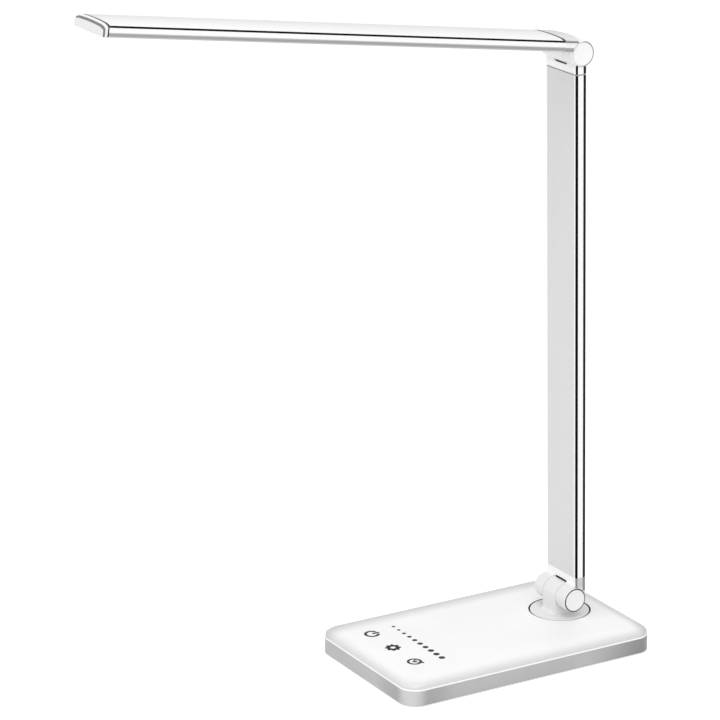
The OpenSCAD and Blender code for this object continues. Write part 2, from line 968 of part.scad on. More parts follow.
module upper_bracket() {
    color("#fafafa")
        at_upper_hinge()
            mirror([0, 0, 1])
                bracket(-upper_shift, up_seam);
}

module bracket_screws() {
    color("#b9bcc0") {
        at_lower_hinge()
            bracket_pair(stem_mid);
        at_upper_hinge()
            mirror([0, 0, 1])
                bracket_pair(-upper_shift);
    }
}

module bracket_pair(mid) {
    for (x = [-port_x, port_x])
        translate([x, mid, screw_seat(mid)])
            pan_screw(port_r - 0.05, tube_screw_l, tube_screw_head_r, tube_screw_head_h);
}

// hollow shaft with a head on the far side and flats that key it to the far knuckle;
// side is -1 where its wire hole faces down and 1 where it faces up
module hinge_shaft(side) {
    difference() {
        union() {
            x_rod(shaft_r, -pocket_x, shaft_end);
            x_rod(shaft_head_r, -pocket_x - shaft_head_t, -pocket_x);
        }
        x_rod(shaft_bore, -pocket_x - shaft_head_t - 1, shaft_end + 1);
        for (z = [-1, 1])
            translate([-pocket_x - over, -shaft_r - 1, z * (shaft_r + 1 - shaft_flat) - 1])
                cube([pocket_x - outer_x, 2 * shaft_r + 2, 2]);
        translate([0, 0, side < 0 ? -shaft_r - 1 : 0])
            cylinder(r = shaft_bore - 0.2, h = shaft_r + 1);
    }
}

module lower_shaft() {
    color("#a5a8ac")
        at_lower_hinge()
            hinge_shaft(-1);
}

module upper_shaft() {
    color("#a5a8ac")
        at_upper_hinge()
            hinge_shaft(1);
}

module at_both_hinges() {
    at_lower_hinge()
        children();
    at_upper_hinge()
        children();
}

module ring_rod(r0, r1, x0, x1) {
    difference() {
        x_rod(r1, x0, x1);
        x_rod(r0, x0 - 1, x1 + 1);
    }
}

module friction_washers() {
    seat = mid_x - brake_seat + running_fit;
    color("#c9a54a")
        at_both_hinges()
            both_sides()
                ring_rod(shaft_r + running_fit, brake_r, seat, seat + brake_t);
}

// dished washer, x out from the shaft's axis and y along it
module dished_section() {
    dish = spring_t / 2;
    polygon([[shaft_r + 0.1, 0], [shaft_r + 0.1, spring_t - dish], [brake_r, spring_t],
        [brake_r, dish]]);
}

module disc_springs() {
    color("#8f959b")
        at_both_hinges()
            for (i = [0 : spring_count - 1])
                translate([pocket_x + (i + i % 2) * spring_t, 0, 0])
                    mirror([i % 2, 0, 0])
                        rotate([0, 90, 0])
                            rotate_extrude()
                                dished_section();
}

module shaft_nuts() {
    color("#b9bcc0")
        at_both_hinges()
            translate([nut_x, 0, 0])
                rotate([0, 90, 0])
                    difference() {
                        cylinder(r = nut_af / 2 / cos(30), h = nut_t, $fn = 6);
                        translate([0, 0, -1])
                            cylinder(r = shaft_r + screw_gap, h = nut_t + 2);
                    }
}

// cap that snaps into the end pocket of a knuckle
module hinge_cap() {
    soft = 0.4;
    r = knuckle_r - cap_step;
    translate([knuckle_end, 0, 0])
        rotate([0, 90, 0])
            rotate_extrude() {
                square([r - soft, cap_t]);
                square([r, cap_t - soft]);
                translate([r - soft, cap_t - soft])
                    circle(soft);
            }
    ring_rod(pocket_r - 0.9, pocket_r - seat_fit, knuckle_end - 0.8, knuckle_end + over);
}

module lower_hinge_caps() {
    color("#f4f4f4")
        at_lower_hinge()
            both_sides()
                hinge_cap();
}

module upper_hinge_caps() {
    color("#fafafa")
        at_upper_hinge()
            both_sides()
                hinge_cap();
}

// ---------------------------------------------------------------- stem

module stem_tube() {
    half_in = stem_w / 2 - stem_wall;
    t_in = stem_t - 2 * stem_wall;
    web = port_x + port_w / 2;
    color("#dadbdc")
        at_lower_hinge()
            translate([0, stem_mid, low_seam])
                linear_extrude(stem_span - low_seam - up_seam)
                    difference() {
                        stem_outline();
                        for (x = [-1, 1]) {
                            translate([x * (web + half_in) / 2, 0])
                                square([half_in - web, t_in], center = true);
                            translate([x * port_x, 0])
                                circle(port_r, $fn = 32);
                        }
                        square([2 * (port_x - port_w / 2), t_in], center = true);
                    }
}

// pair of cores from the bore of the lower shaft, up the stem, to the bore of the upper
module stem_wires() {
    turn = 3.6;
    color("#d8342c")
        at_lower_hinge()
            for (side = [-1, 1]) {
                shift = side * core_pitch / 2;
                x = wire_x + shift;
                core([[0, 0, shift], [x, 0, shift], [x, stem_mid, turn],
                    [x, stem_mid, stem_span - turn], [x, axis_shift, stem_span - shift],
                    [0, axis_shift, stem_span - shift]], core_r);
            }
}

// ---------------------------------------------------------------- arm

// section of the arm, x across and y up from the upper hinge axis
module arm_outline() {
    w = arm_w / 2;
    e = arm_edge;
    intersection() {
        polygon([[-w + e, arm_low], [w - e, arm_low], [w, arm_low + e],
            [w, arm_flat_top - e], [w - e, arm_flat_top], [w - e, arm_top + 1],
            [-w + e, arm_top + 1], [-w + e, arm_flat_top], [-w, arm_flat_top - e],
            [-w, arm_low + e]]);
        union() {
            intersection() {
                translate([0, arm_top - crown_flat_r])
                    circle(crown_flat_r, $fn = 360);
                translate([-roll_x, 0])
                    square([2 * roll_x, arm_top + 1]);
            }
            for (side = [-1, 1])
                intersection() {
                    translate([side * roll_x * roll_share, roll_z])
                        circle(roll_r, $fn = 360);
                    translate([side * (roll_x + w - over) / 2, arm_top / 2])
                        square([w - roll_x + over, arm_top], center = true);
                }
        }
    }
}

// extrudes a section along the arm between two distances from the upper hinge axis
module along_arm(from, to) {
    translate([0, -from, 0])
        rotate([90, 0, 0])
            linear_extrude(to - from)
                children();
}

// space under the lamp panel where the folded stem lies
module nest_section() {
    translate([-nest_half, arm_low - 1])
        square([2 * nest_half, nest_z - arm_low + 1]);
}

// hollow of the shell over the nest: the diffuser's groove and the light chamber
module light_section(gap) {
    translate([-groove_half + gap, nest_z - over])
        square([2 * groove_half - 2 * gap, diffuser_t + 0.1 - gap + over]);
    translate([-light_half + gap, nest_z])
        square([2 * light_half - 2 * gap, light_top - nest_z - gap]);
    translate([-led_w / 2 - 0.1 + gap, nest_z])
        square([led_w + 0.2 - 2 * gap, led_board_z + led_board_t - nest_z - gap]);
}

module arm_bracket() {
    color("#dcdddf")
        at_arm()
            difference() {
                union() {
                    difference() {
                        along_arm(0, arm_seam)
                            arm_outline();
                        along_arm(-1, arm_seam + 1)
                            nest_section();
                        both_sides()
                            x_rod(max(notch_r, arm_top + over), mid_x, arm_w);
                    }
                    along_arm(arm_seam - over, arm_seam + arm_tongue_l)
                        light_section(seat_fit);
                    x_rod(knuckle_r, -mid_x, mid_x);
                }
                x_rod(shaft_r + running_fit, -mid_x - 1, mid_x + 1);
                both_sides()
                    x_rod(brake_r + seat_fit, mid_x - brake_seat, mid_x + 1);
                // way for the wires from the shaft to the light board
                cylinder(r = wire_hole_r, h = arm_wire_z() + core_r + 0.15);
                along_arm(0, arm_seam + arm_tongue_l + 1)
                    translate([-wire_hole_r, arm_wire_z() - core_r - 0.15])
                        square([2 * wire_hole_r, 2 * core_r + 0.3]);
            }
}

function arm_wire_z() = diffuser_top + core_r + 0.1;

module arm_shell() {
    color("#e9eaeb")
        at_arm()
            difference() {
                along_arm(arm_seam, arm_reach - tip_l)
                    arm_outline();
                along_arm(arm_seam - 1, arm_reach) {
                    nest_section();
                    light_section(0);
                }
            }
}

module arm_tip_cap() {
    root = arm_reach - tip_l;
    color("#e6e6e7")
        at_arm() {
            intersection() {
                along_arm(root + tip_seam, arm_reach)
                    arm_outline();
                tip_profile();
            }
            along_arm(root, root + tip_seam + over)
                inset_outline(tip_groove);
            along_arm(root - tip_tongue_l, root + over)
                light_section(seat_fit);
        }
}

// side view of the arm, extruded across it, with a rounded upper edge at the tip
module tip_profile() {
    rotate([90, 0, -90])
        linear_extrude(arm_w + 2, center = true) {
            translate([0, arm_low - 1])
                square([arm_reach - tip_round, arm_top + 2]);
            translate([0, arm_low - 1])
                square([arm_reach, arm_top - arm_low + 1 - tip_round]);
            translate([arm_reach - tip_round, arm_top - tip_round])
                circle(tip_round);
        }
}

// arm section drawn in by a small step all round
module inset_outline(step) {
    intersection() {
        translate([0, -step])
            arm_outline();
        translate([0, step])
            arm_outline();
        translate([-arm_w / 2 + step, arm_low])
            square([arm_w - 2 * step, arm_top]);
    }
}

module diffuser() {
    color("#ffffff")
        at_arm()
            along_arm(arm_seam + arm_tongue_l + 0.2, arm_reach - tip_l - tip_tongue_l - 0.2)
                translate([-groove_half + seat_fit, nest_z])
                    square([2 * groove_half - 2 * seat_fit, diffuser_t]);
}

module led_board() {
    color("#f0f0e8")
        at_arm()
            along_arm(led_first, led_last)
                translate([-led_w / 2, led_board_z])
                    square([led_w, led_board_t]);
}

module led_chips() {
    chip = [2.8, 3.5, chip_h];
    pitch = (led_last - led_first) / led_count;
    color("#f4e58a")
        at_arm()
            for (i = [0 : led_count - 1], x = [-1, 1])
                translate([x * led_w / 4, -led_first - (i + 0.5) * pitch, led_board_z - chip_h / 2])
                    cube(chip, center = true);
}

module arm_wires() {
    z = arm_wire_z();
    color("#d8342c")
        at_arm()
            for (side = [-1, 1]) {
                x = side * core_pitch / 2;
                core([[x, 0, shaft_r + 0.4], [x, 0, z], [x, 0.2 - led_first, z]], core_r);
            }
}

anti_slip_pad();
bottom_plate();
base_screws();
silver_band();
base_cover();
counterweight();
touch_board();
driver_board();
board_screws();
dc_jack();
dc_jack_contact();
usb_socket();
usb_tongue();
base_wires();
swivel_foot();
swivel_washer();
swivel_retainer();
retainer_screws();
lower_bracket();
stem_tube();
upper_bracket();
bracket_screws();
lower_shaft();
upper_shaft();
friction_washers();
disc_springs();
shaft_nuts();
lower_hinge_caps();
upper_hinge_caps();
stem_wires();
arm_bracket();
arm_shell();
arm_tip_cap();
diffuser();
led_board();
led_chips();
arm_wires();
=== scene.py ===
# %% [markdown]
# # A folding desk lamp, dressed for its portrait
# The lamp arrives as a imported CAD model: 37 named pieces that already sit in the right places
# and fold on the right joints. Blender adds what a drawing of solids leaves out: soft edges,
# printed keys, brushed metal, moulded plastic, light and a camera. This file is a lesson in
# small cells. Each one can be read alone, and each one prints what it made.

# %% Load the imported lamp
import json
from math import cos, pi, radians, sin, sqrt

import bpy
from mathutils import Matrix, Vector


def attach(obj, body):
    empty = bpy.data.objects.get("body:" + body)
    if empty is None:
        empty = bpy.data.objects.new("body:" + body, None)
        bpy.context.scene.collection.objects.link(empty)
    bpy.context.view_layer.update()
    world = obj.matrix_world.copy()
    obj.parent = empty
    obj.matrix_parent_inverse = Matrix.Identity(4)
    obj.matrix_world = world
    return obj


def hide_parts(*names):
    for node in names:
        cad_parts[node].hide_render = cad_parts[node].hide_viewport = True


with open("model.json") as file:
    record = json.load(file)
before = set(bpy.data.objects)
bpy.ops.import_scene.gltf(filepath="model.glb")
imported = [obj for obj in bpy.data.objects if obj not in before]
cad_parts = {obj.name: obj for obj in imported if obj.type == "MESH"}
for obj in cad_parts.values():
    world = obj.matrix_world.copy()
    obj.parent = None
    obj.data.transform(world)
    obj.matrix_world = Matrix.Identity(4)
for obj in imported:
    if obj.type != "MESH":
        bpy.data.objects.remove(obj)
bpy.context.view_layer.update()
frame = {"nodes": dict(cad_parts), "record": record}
nodes = frame["nodes"]

# %% [markdown]
# ## The sizes that the pieces share
# A lamp is built round a few axes. The swivel stands in the base, the stem turns on the lower
# shaft and the arm turns on the upper one. The CAD source has the same sizes. They are
# written once here, in millimetres, and every piece below is drawn in the frame of the axis
# that it belongs to. A matrix then carries it to its place. That is easier to read than
# world coordinates, because a stem drawn upright is a plain rectangle.

# %% Sizes and the three working frames
MM = 0.001
BASE_L, BASE_W, BASE_R = 165.0, 100.0, 10.0
BAND_TOP, COVER_TOP = 9.2, 14.9
CROWN_RUN, COVER_T, CEILING = 16.0, 2.0, 12.05
SWIVEL_Y, DISC_R, DISC_GAP = 50.5, 17.2, 0.7
HINGE_Z, KNUCKLE_END, CAP_R = 25.7, 14.6, 7.1
STEM_SPAN, STEM_W, STEM_T, STEM_EDGE = 322.0, 30.8, 6.8, 0.9
LOW_MID, UP_MID = 4.4, -0.6
LOW_SEAM, UP_SEAM = 12.8, 11.3
ARM_REACH, ARM_W, ARM_SEAM, TIP_L = 295.0, 34.8, 13.4, 2.9
ARM_LOW, ARM_FLAT, ARM_TOP, ARM_EDGE = 1.05, 6.85, 8.15, 0.8
NEST_Z, NEST_HALF, DIFFUSER_T, LED_W = 4.45, 16.0, 0.8, 17.0
STEM_LEAN, ARM_BEND, UPPER_BACK = 1.3, -9.4, 5.0


def turned(point, degrees):
    return Matrix.Translation(point) @ Matrix.Rotation(radians(degrees), 4, "X")


AT_DESK = Matrix.Identity(4)
AT_LOWER = turned((0, SWIVEL_Y, HINGE_Z), STEM_LEAN)
AT_UPPER = AT_LOWER @ Matrix.Translation((0, UPPER_BACK, STEM_SPAN))
AT_ARM = AT_UPPER @ Matrix.Rotation(radians(ARM_BEND), 4, "X")
print("upper hinge at", [round(v, 2) for v in AT_UPPER.translation])

# %% [markdown]
# ## The camera
# The photograph was taken from far away with a long lens, which keeps the base almost free of
# perspective. The direction, distance and lens come from a fit to edges of the object, and
# the camera looks from there at one point of the stem. A Track To constraint would do the
# aiming, but a rotation that is computed once stays put when the file is opened elsewhere.

# %% Camera at the photograph's angle
AZIMUTH, ELEVATION, DISTANCE = radians(59.369), radians(18.028), 1.8432
TARGET = Vector((0, -0.08426, 0.18940))
back = Vector((sin(AZIMUTH) * cos(ELEVATION), -cos(AZIMUTH) * cos(ELEVATION), sin(ELEVATION)))

camera = bpy.data.objects.new("camera", bpy.data.cameras.new("camera"))
bpy.context.scene.collection.objects.link(camera)
camera.location = TARGET + back * DISTANCE
camera.rotation_euler = back.to_track_quat("Z", "Y").to_euler()
camera.data.lens, camera.data.sensor_width = 168.79, 36.0
camera.data.clip_start, camera.data.clip_end = 0.05, 20.0
bpy.context.scene.camera = camera
print("camera at", [round(v, 3) for v in camera.location])

# %% [markdown]
# ## Studio: floor, world and lamps
# The object is white on white, so its shape is told by soft greys alone. The world gives an
# even light from everywhere. One wide lamp hangs overhead for the level faces, one stands to
# the left of the camera and one, a little stronger than that, to its right. The white
# backdrop isn't made with more light: rays that come from the camera, or that a shiny or
# clear surface sends out, see a world of strength 1, which is plain white. The floor is a
# pale diffuse surface that keeps the object's shadow, with a glow that only camera and glossy
# rays meet, so it adds no light to the object.

# %% World
SOFT_LIGHT, BACKDROP = 0.56, 1.0
scene = bpy.context.scene
scene.view_settings.view_transform = "Standard"
world = bpy.data.worlds.new("studio")
scene.world = world
world.use_nodes = True
wn, wl = world.node_tree.nodes, world.node_tree.links
wn.clear()
path = wn.new("ShaderNodeLightPath")
seen = wn.new("ShaderNodeMath"); seen.operation = "MAXIMUM"
seen_too = wn.new("ShaderNodeMath"); seen_too.operation = "MAXIMUM"
soft = wn.new("ShaderNodeBackground"); soft.inputs["Strength"].default_value = SOFT_LIGHT
white = wn.new("ShaderNodeBackground"); white.inputs["Strength"].default_value = BACKDROP
mix = wn.new("ShaderNodeMixShader")
out = wn.new("ShaderNodeOutputWorld")
for background in (soft, white):
    background.inputs["Color"].default_value = (1, 1, 1, 1)
wl.new(path.outputs["Is Camera Ray"], seen.inputs[0])
wl.new(path.outputs["Is Glossy Ray"], seen.inputs[1])
wl.new(seen.outputs[0], seen_too.inputs[0])
wl.new(path.outputs["Is Transmission Ray"], seen_too.inputs[1])
wl.new(seen_too.outputs[0], mix.inputs[0])
wl.new(soft.outputs[0], mix.inputs[1])
wl.new(white.outputs[0], mix.inputs[2])
wl.new(mix.outputs[0], out.inputs[0])
print("world strengths:", SOFT_LIGHT, "on the object,", BACKDROP, "as backdrop")


# %% Lamps
def soft_box(name, place, aim, width, watts):
    light = bpy.data.lights.new(name, "AREA")
    light.shape, light.size, light.energy = "SQUARE", width, watts
    lamp = bpy.data.objects.new(name, light)
    scene.collection.objects.link(lamp)
    lamp.location = place
    lamp.rotation_euler = (Vector(place) - Vector(aim)).to_track_quat("Z", "Y").to_euler()
    return lamp


soft_box("overhead", (0.2, -0.3, 2.0), aim=(0, -0.05, 0.1), width=1.6, watts=16)
soft_box("front_left", (-0.3, -2.0, 0.9), aim=(0, 0, 0.15), width=1.4, watts=10)
soft_box("camera_side", (2.2, -0.4, 0.8), aim=(0, 0, 0.15), width=1.2, watts=14)

# %% Floor
FLOOR_HALF, FLOOR_GREY, FLOOR_GLOW = 6, 0.80, 0.50
floor_mesh = bpy.data.meshes.new("floor")
corners = [(x * FLOOR_HALF, y * FLOOR_HALF, 0) for x, y in ((-1, -1), (1, -1), (1, 1), (-1, 1))]
floor_mesh.from_pydata(corners, [], [(0, 1, 2, 3)])
floor = bpy.data.objects.new("floor", floor_mesh)
scene.collection.objects.link(floor)
floor_paint = bpy.data.materials.new("floor_paint")
floor_paint.use_nodes = True
fn, fl = floor_paint.node_tree.nodes, floor_paint.node_tree.links
fn.clear()
paint = fn.new("ShaderNodeBsdfDiffuse")
paint.inputs["Color"].default_value = (FLOOR_GREY, FLOOR_GREY, FLOOR_GREY, 1)
glow = fn.new("ShaderNodeEmission"); glow.inputs["Strength"].default_value = FLOOR_GLOW
camera_ray = fn.new("ShaderNodeLightPath")
seen_by = fn.new("ShaderNodeMath"); seen_by.operation = "MAXIMUM"
nothing = fn.new("ShaderNodeEmission"); nothing.inputs["Strength"].default_value = 0.0
choose = fn.new("ShaderNodeMixShader")
both = fn.new("ShaderNodeAddShader")
floor_out = fn.new("ShaderNodeOutputMaterial")
fl.new(camera_ray.outputs["Is Camera Ray"], seen_by.inputs[0])
fl.new(camera_ray.outputs["Is Glossy Ray"], seen_by.inputs[1])
fl.new(seen_by.outputs[0], choose.inputs[0])
fl.new(nothing.outputs[0], choose.inputs[1])
fl.new(glow.outputs[0], choose.inputs[2])
fl.new(paint.outputs[0], both.inputs[0])
fl.new(choose.outputs[0], both.inputs[1])
fl.new(both.outputs[0], floor_out.inputs[0])
floor_mesh.materials.append(floor_paint)
print("floor half size:", FLOOR_HALF, "m, grey:", FLOOR_GREY)

# %% [markdown]
# ## Two shared effects
# Most of this lamp is moulded plastic or drawn aluminium. Moulded plastic is never quite even:
# the mould leaves a fine skin, and the gloss wanders a little. Drawn metal has a grain that
# runs along the profile. Each of the two is a node group with named sockets, so every material
# can ask for its own size and depth. A group hands out only colours, roughness and normals.
# The shader itself stays in the material, where a learner expects it and the export reads it.


# %% Group: moulded skin
def socket(tree, name, way, kind, value=None):
    made = tree.interface.new_socket(name=name, in_out=way, socket_type=kind)
    if value is not None:
        made.default_value = value
    return made


def link_all(tree, pairs):
    for a, b in pairs:
        tree.links.new(a, b)


def noise_node(tree, detail):
    made = tree.nodes.new("ShaderNodeTexNoise")
    made.inputs["Detail"].default_value = detail
    return made


def spread_node(tree, low, high):
    made = tree.nodes.new("ShaderNodeMapRange")
    made.inputs["From Min"].default_value = 0.3
    made.inputs["From Max"].default_value = 0.7
    made.inputs["To Min"].default_value = low
    made.inputs["To Max"].default_value = high
    return made


def grain_group(name, stretched):
    tree = bpy.data.node_groups.new(name, "ShaderNodeTree")
    socket(tree, "Color", "INPUT", "NodeSocketColor", (0.8, 0.8, 0.8, 1))
    socket(tree, "Tone", "INPUT", "NodeSocketFloat", 0.02)
    socket(tree, "Roughness", "INPUT", "NodeSocketFloat", 0.3)
    socket(tree, "Unevenness", "INPUT", "NodeSocketFloat", 0.1)
    socket(tree, "Grain Scale", "INPUT", "NodeSocketFloat", 2000.0)
    socket(tree, "Grain Depth", "INPUT", "NodeSocketFloat", 0.05)
    if stretched:
        socket(tree, "Along", "INPUT", "NodeSocketVector", (1, 1, 0.02))
    socket(tree, "Color", "OUTPUT", "NodeSocketColor")
    socket(tree, "Roughness", "OUTPUT", "NodeSocketFloat")
    socket(tree, "Normal", "OUTPUT", "NodeSocketVector")
    start = tree.nodes.new("NodeGroupInput")
    end = tree.nodes.new("NodeGroupOutput")
    where = tree.nodes.new("ShaderNodeTexCoord")
    fine, wide = noise_node(tree, 3.0), noise_node(tree, 2.0)
    wide.inputs["Scale"].default_value = 45.0
    point = where.outputs["Object"]
    if stretched:
        squeeze = tree.nodes.new("ShaderNodeVectorMath"); squeeze.operation = "MULTIPLY"
        link_all(tree, [(point, squeeze.inputs[0]), (start.outputs["Along"], squeeze.inputs[1])])
        point = squeeze.outputs[0]
    tint = spread_node(tree, -1.0, 1.0)
    shade = tree.nodes.new("ShaderNodeMath"); shade.operation = "MULTIPLY_ADD"
    shade.inputs[2].default_value = 1.0
    tone = tree.nodes.new("ShaderNodeVectorMath"); tone.operation = "SCALE"
    wander = spread_node(tree, -1.0, 1.0)
    uneven = tree.nodes.new("ShaderNodeMath"); uneven.operation = "MULTIPLY_ADD"
    bump = tree.nodes.new("ShaderNodeBump")
    bump.inputs["Distance"].default_value = 0.0001
    link_all(tree, [
        (point, fine.inputs["Vector"]), (where.outputs["Object"], wide.inputs["Vector"]),
        (start.outputs["Grain Scale"], fine.inputs["Scale"]),
        (fine.outputs["Fac"] if stretched else wide.outputs["Fac"], tint.inputs["Value"]),
        (tint.outputs[0], shade.inputs[0]), (start.outputs["Tone"], shade.inputs[1]),
        (start.outputs["Color"], tone.inputs[0]), (shade.outputs[0], tone.inputs["Scale"]),
        (wide.outputs["Fac"], wander.inputs["Value"]), (wander.outputs[0], uneven.inputs[0]),
        (start.outputs["Unevenness"], uneven.inputs[1]), (start.outputs["Roughness"], uneven.inputs[2]),
        (fine.outputs["Fac"], bump.inputs["Height"]), (start.outputs["Grain Depth"], bump.inputs["Strength"]),
        (tone.outputs[0], end.inputs["Color"]), (uneven.outputs[0], end.inputs["Roughness"]),
        (bump.outputs[0], end.inputs["Normal"])])
    return tree


moulded_skin = grain_group("moulded_skin", False)
drawn_grain = grain_group("drawn_grain", True)
print("node groups:", [g.name for g in bpy.data.node_groups])

# %% [markdown]
# ## The materials
# One table names every finish of the CAD pieces: its colour, how metallic and how rough it is, and
# which of the two groups gives its surface. A gloss plastic gets a thin clear coat, because
# the skin of a polished mould is smoother than the plastic below it.


# %% Materials
def finish(name, color, rough, metal=0.0, coat=0.0, tone=0.015, uneven=0.03, grain=2500.0,
           depth=0.06, along=None, glow=0.0, through=0.0, gloss=0.5):
    made = bpy.data.materials.new(name)
    made.use_nodes = True
    tree = made.node_tree
    shader = tree.nodes["Principled BSDF"]
    skin = tree.nodes.new("ShaderNodeGroup")
    skin.node_tree = drawn_grain if along else moulded_skin
    skin.inputs["Color"].default_value = (*color, 1)
    for key, value in (("Tone", tone), ("Roughness", rough), ("Unevenness", uneven),
                       ("Grain Scale", grain), ("Grain Depth", depth)):
        skin.inputs[key].default_value = value
    if along:
        skin.inputs["Along"].default_value = along
    shader.inputs["Metallic"].default_value = metal
    shader.inputs["Coat Weight"].default_value = coat
    shader.inputs["Coat Roughness"].default_value = 0.12
    shader.inputs["Specular IOR Level"].default_value = gloss
    shader.inputs["Transmission Weight"].default_value = through
    if glow:
        shader.inputs["Emission Color"].default_value = (*color, 1)
        shader.inputs["Emission Strength"].default_value = glow
    link_all(tree, [(skin.outputs["Color"], shader.inputs["Base Color"]),
                    (skin.outputs["Roughness"], shader.inputs["Roughness"]),
                    (skin.outputs["Normal"], shader.inputs["Normal"])])
    return made


def grey(value, warm=0.0):
    return (value + warm, value, value - warm)


UPRIGHT, LENGTHWAYS, CROSSWAYS = (1, 1, 0.02), (1, 0.02, 1), (0.02, 1, 1)
FINISHES = {
    "pad_rubber": finish("pad_rubber", grey(0.055), 0.75, grain=900, depth=0.35),
    "white_plastic": finish("white_plastic", grey(0.84), 0.30, coat=0.25),
    "hinge_plastic": finish("hinge_plastic", grey(0.94), 0.38, coat=0.10),
    "silver_plastic": finish("silver_plastic", grey(0.88), 0.40, tone=0.03),
    "silver_paint": finish("silver_paint", grey(0.47), 0.42, tone=0.05, grain=4000, depth=0.10),
    "satin_aluminium": finish("satin_aluminium", grey(0.69), 0.45, 0.35, along=UPRIGHT, grain=3000),
    "pearl_aluminium": finish("pearl_aluminium", grey(0.88), 0.30, 0.0, 0.3, along=LENGTHWAYS, grain=3000),
    "milky_plastic": finish("milky_plastic", grey(0.90), 0.55, through=0.15),
    "led_board_white": finish("led_board_white", grey(0.85), 0.35, coat=0.3),
    "led_phosphor": finish("led_phosphor", (0.87, 0.62, 0.10), 0.5),
    "plate_steel": finish("plate_steel", grey(0.42), 0.36, 1.0, along=LENGTHWAYS, grain=2500, tone=0.06),
    "shaft_steel": finish("shaft_steel", grey(0.50), 0.28, 1.0, along=CROSSWAYS, grain=2500, tone=0.05),
    "screw_steel": finish("screw_steel", grey(0.62), 0.22, 1.0, tone=0.03),
    "brass_parts": finish("brass_parts", (0.72, 0.50, 0.20), 0.30, 1.0, tone=0.04),
    "circuit_board": finish("circuit_board", (0.02, 0.13, 0.06), 0.35, coat=0.4, tone=0.10),
    "black_plastic": finish("black_plastic", grey(0.022), 0.45, depth=0.12),
    "socket_plastic": finish("socket_plastic", grey(0.80), 0.42),
    "wire_insulation": finish("wire_insulation", (0.50, 0.02, 0.02), 0.40),
}
for part in frame["record"]["subparts"]:
    for held in nodes[part["node"]].material_slots:
        held.material = FINISHES[part["material_slot"]]
print("materials:", len(FINISHES))

# %% [markdown]
# ## Tools for the lamp's own pieces
# The next pieces replace or dress CAD solids. Nearly all of them are skins over a row of equal
# rings: a ring is a cross-section, and two rings are joined by one band of quads. That covers
# a cover that rises in contour lines, a bar with a section, and a turned part. A Screw or a
# Curve bevel could make some of them too, but rings leave every face known by its place, so
# each band can take a finish of its own.

# %% Rings, skins and pieces
import bmesh


def skin(rings, ends=(True, True)):
    count = len(rings[0])
    points = [point for ring in rings for point in ring]
    faces = []
    for r in range(len(rings) - 1):
        for i in range(count):
            a, b = r * count + i, r * count + (i + 1) % count
            faces.append((a, b, b + count, a + count))
    if ends[0]:
        faces.append(tuple(range(count - 1, -1, -1)))
    if ends[1]:
        faces.append(tuple(range(len(points) - count, len(points))))
    return points, faces


def piece(name, points, faces, where, body, paints, paint_of=None, stands_for=(), crease=32):
    mesh = bpy.data.meshes.new(name)
    mesh.from_pydata([tuple((where @ Vector(p)) * MM) for p in points], [], faces)
    for paint in paints:
        mesh.materials.append(paint)
    for polygon, index in zip(mesh.polygons, paint_of or []):
        polygon.material_index = index
    work = bmesh.new()
    work.from_mesh(mesh)
    bmesh.ops.recalc_face_normals(work, faces=work.faces)
    work.to_mesh(mesh)
    work.free()
    mesh.shade_smooth()
    mesh.set_sharp_from_angle(angle=radians(crease))
    made = bpy.data.objects.new(name, mesh)
    scene.collection.objects.link(made)
    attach(made, body)
    if stands_for:
        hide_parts(*stands_for)
    print(name, "faces:", len(mesh.polygons), "on", body)
    return made


TURN_STEPS = 96


def turned_part(profile, axis="Z", at=(0, 0, 0)):
    rings = []
    for r, h in profile:
        ring = []
        for i in range(TURN_STEPS):
            a = 2 * pi * i / TURN_STEPS
            spot = (r * cos(a), r * sin(a), h) if axis == "Z" else (h, r * cos(a), r * sin(a))
            ring.append(tuple(s + o for s, o in zip(spot, at)))
        rings.append(ring)
    return rings


print("a turned part has", TURN_STEPS, "steps")
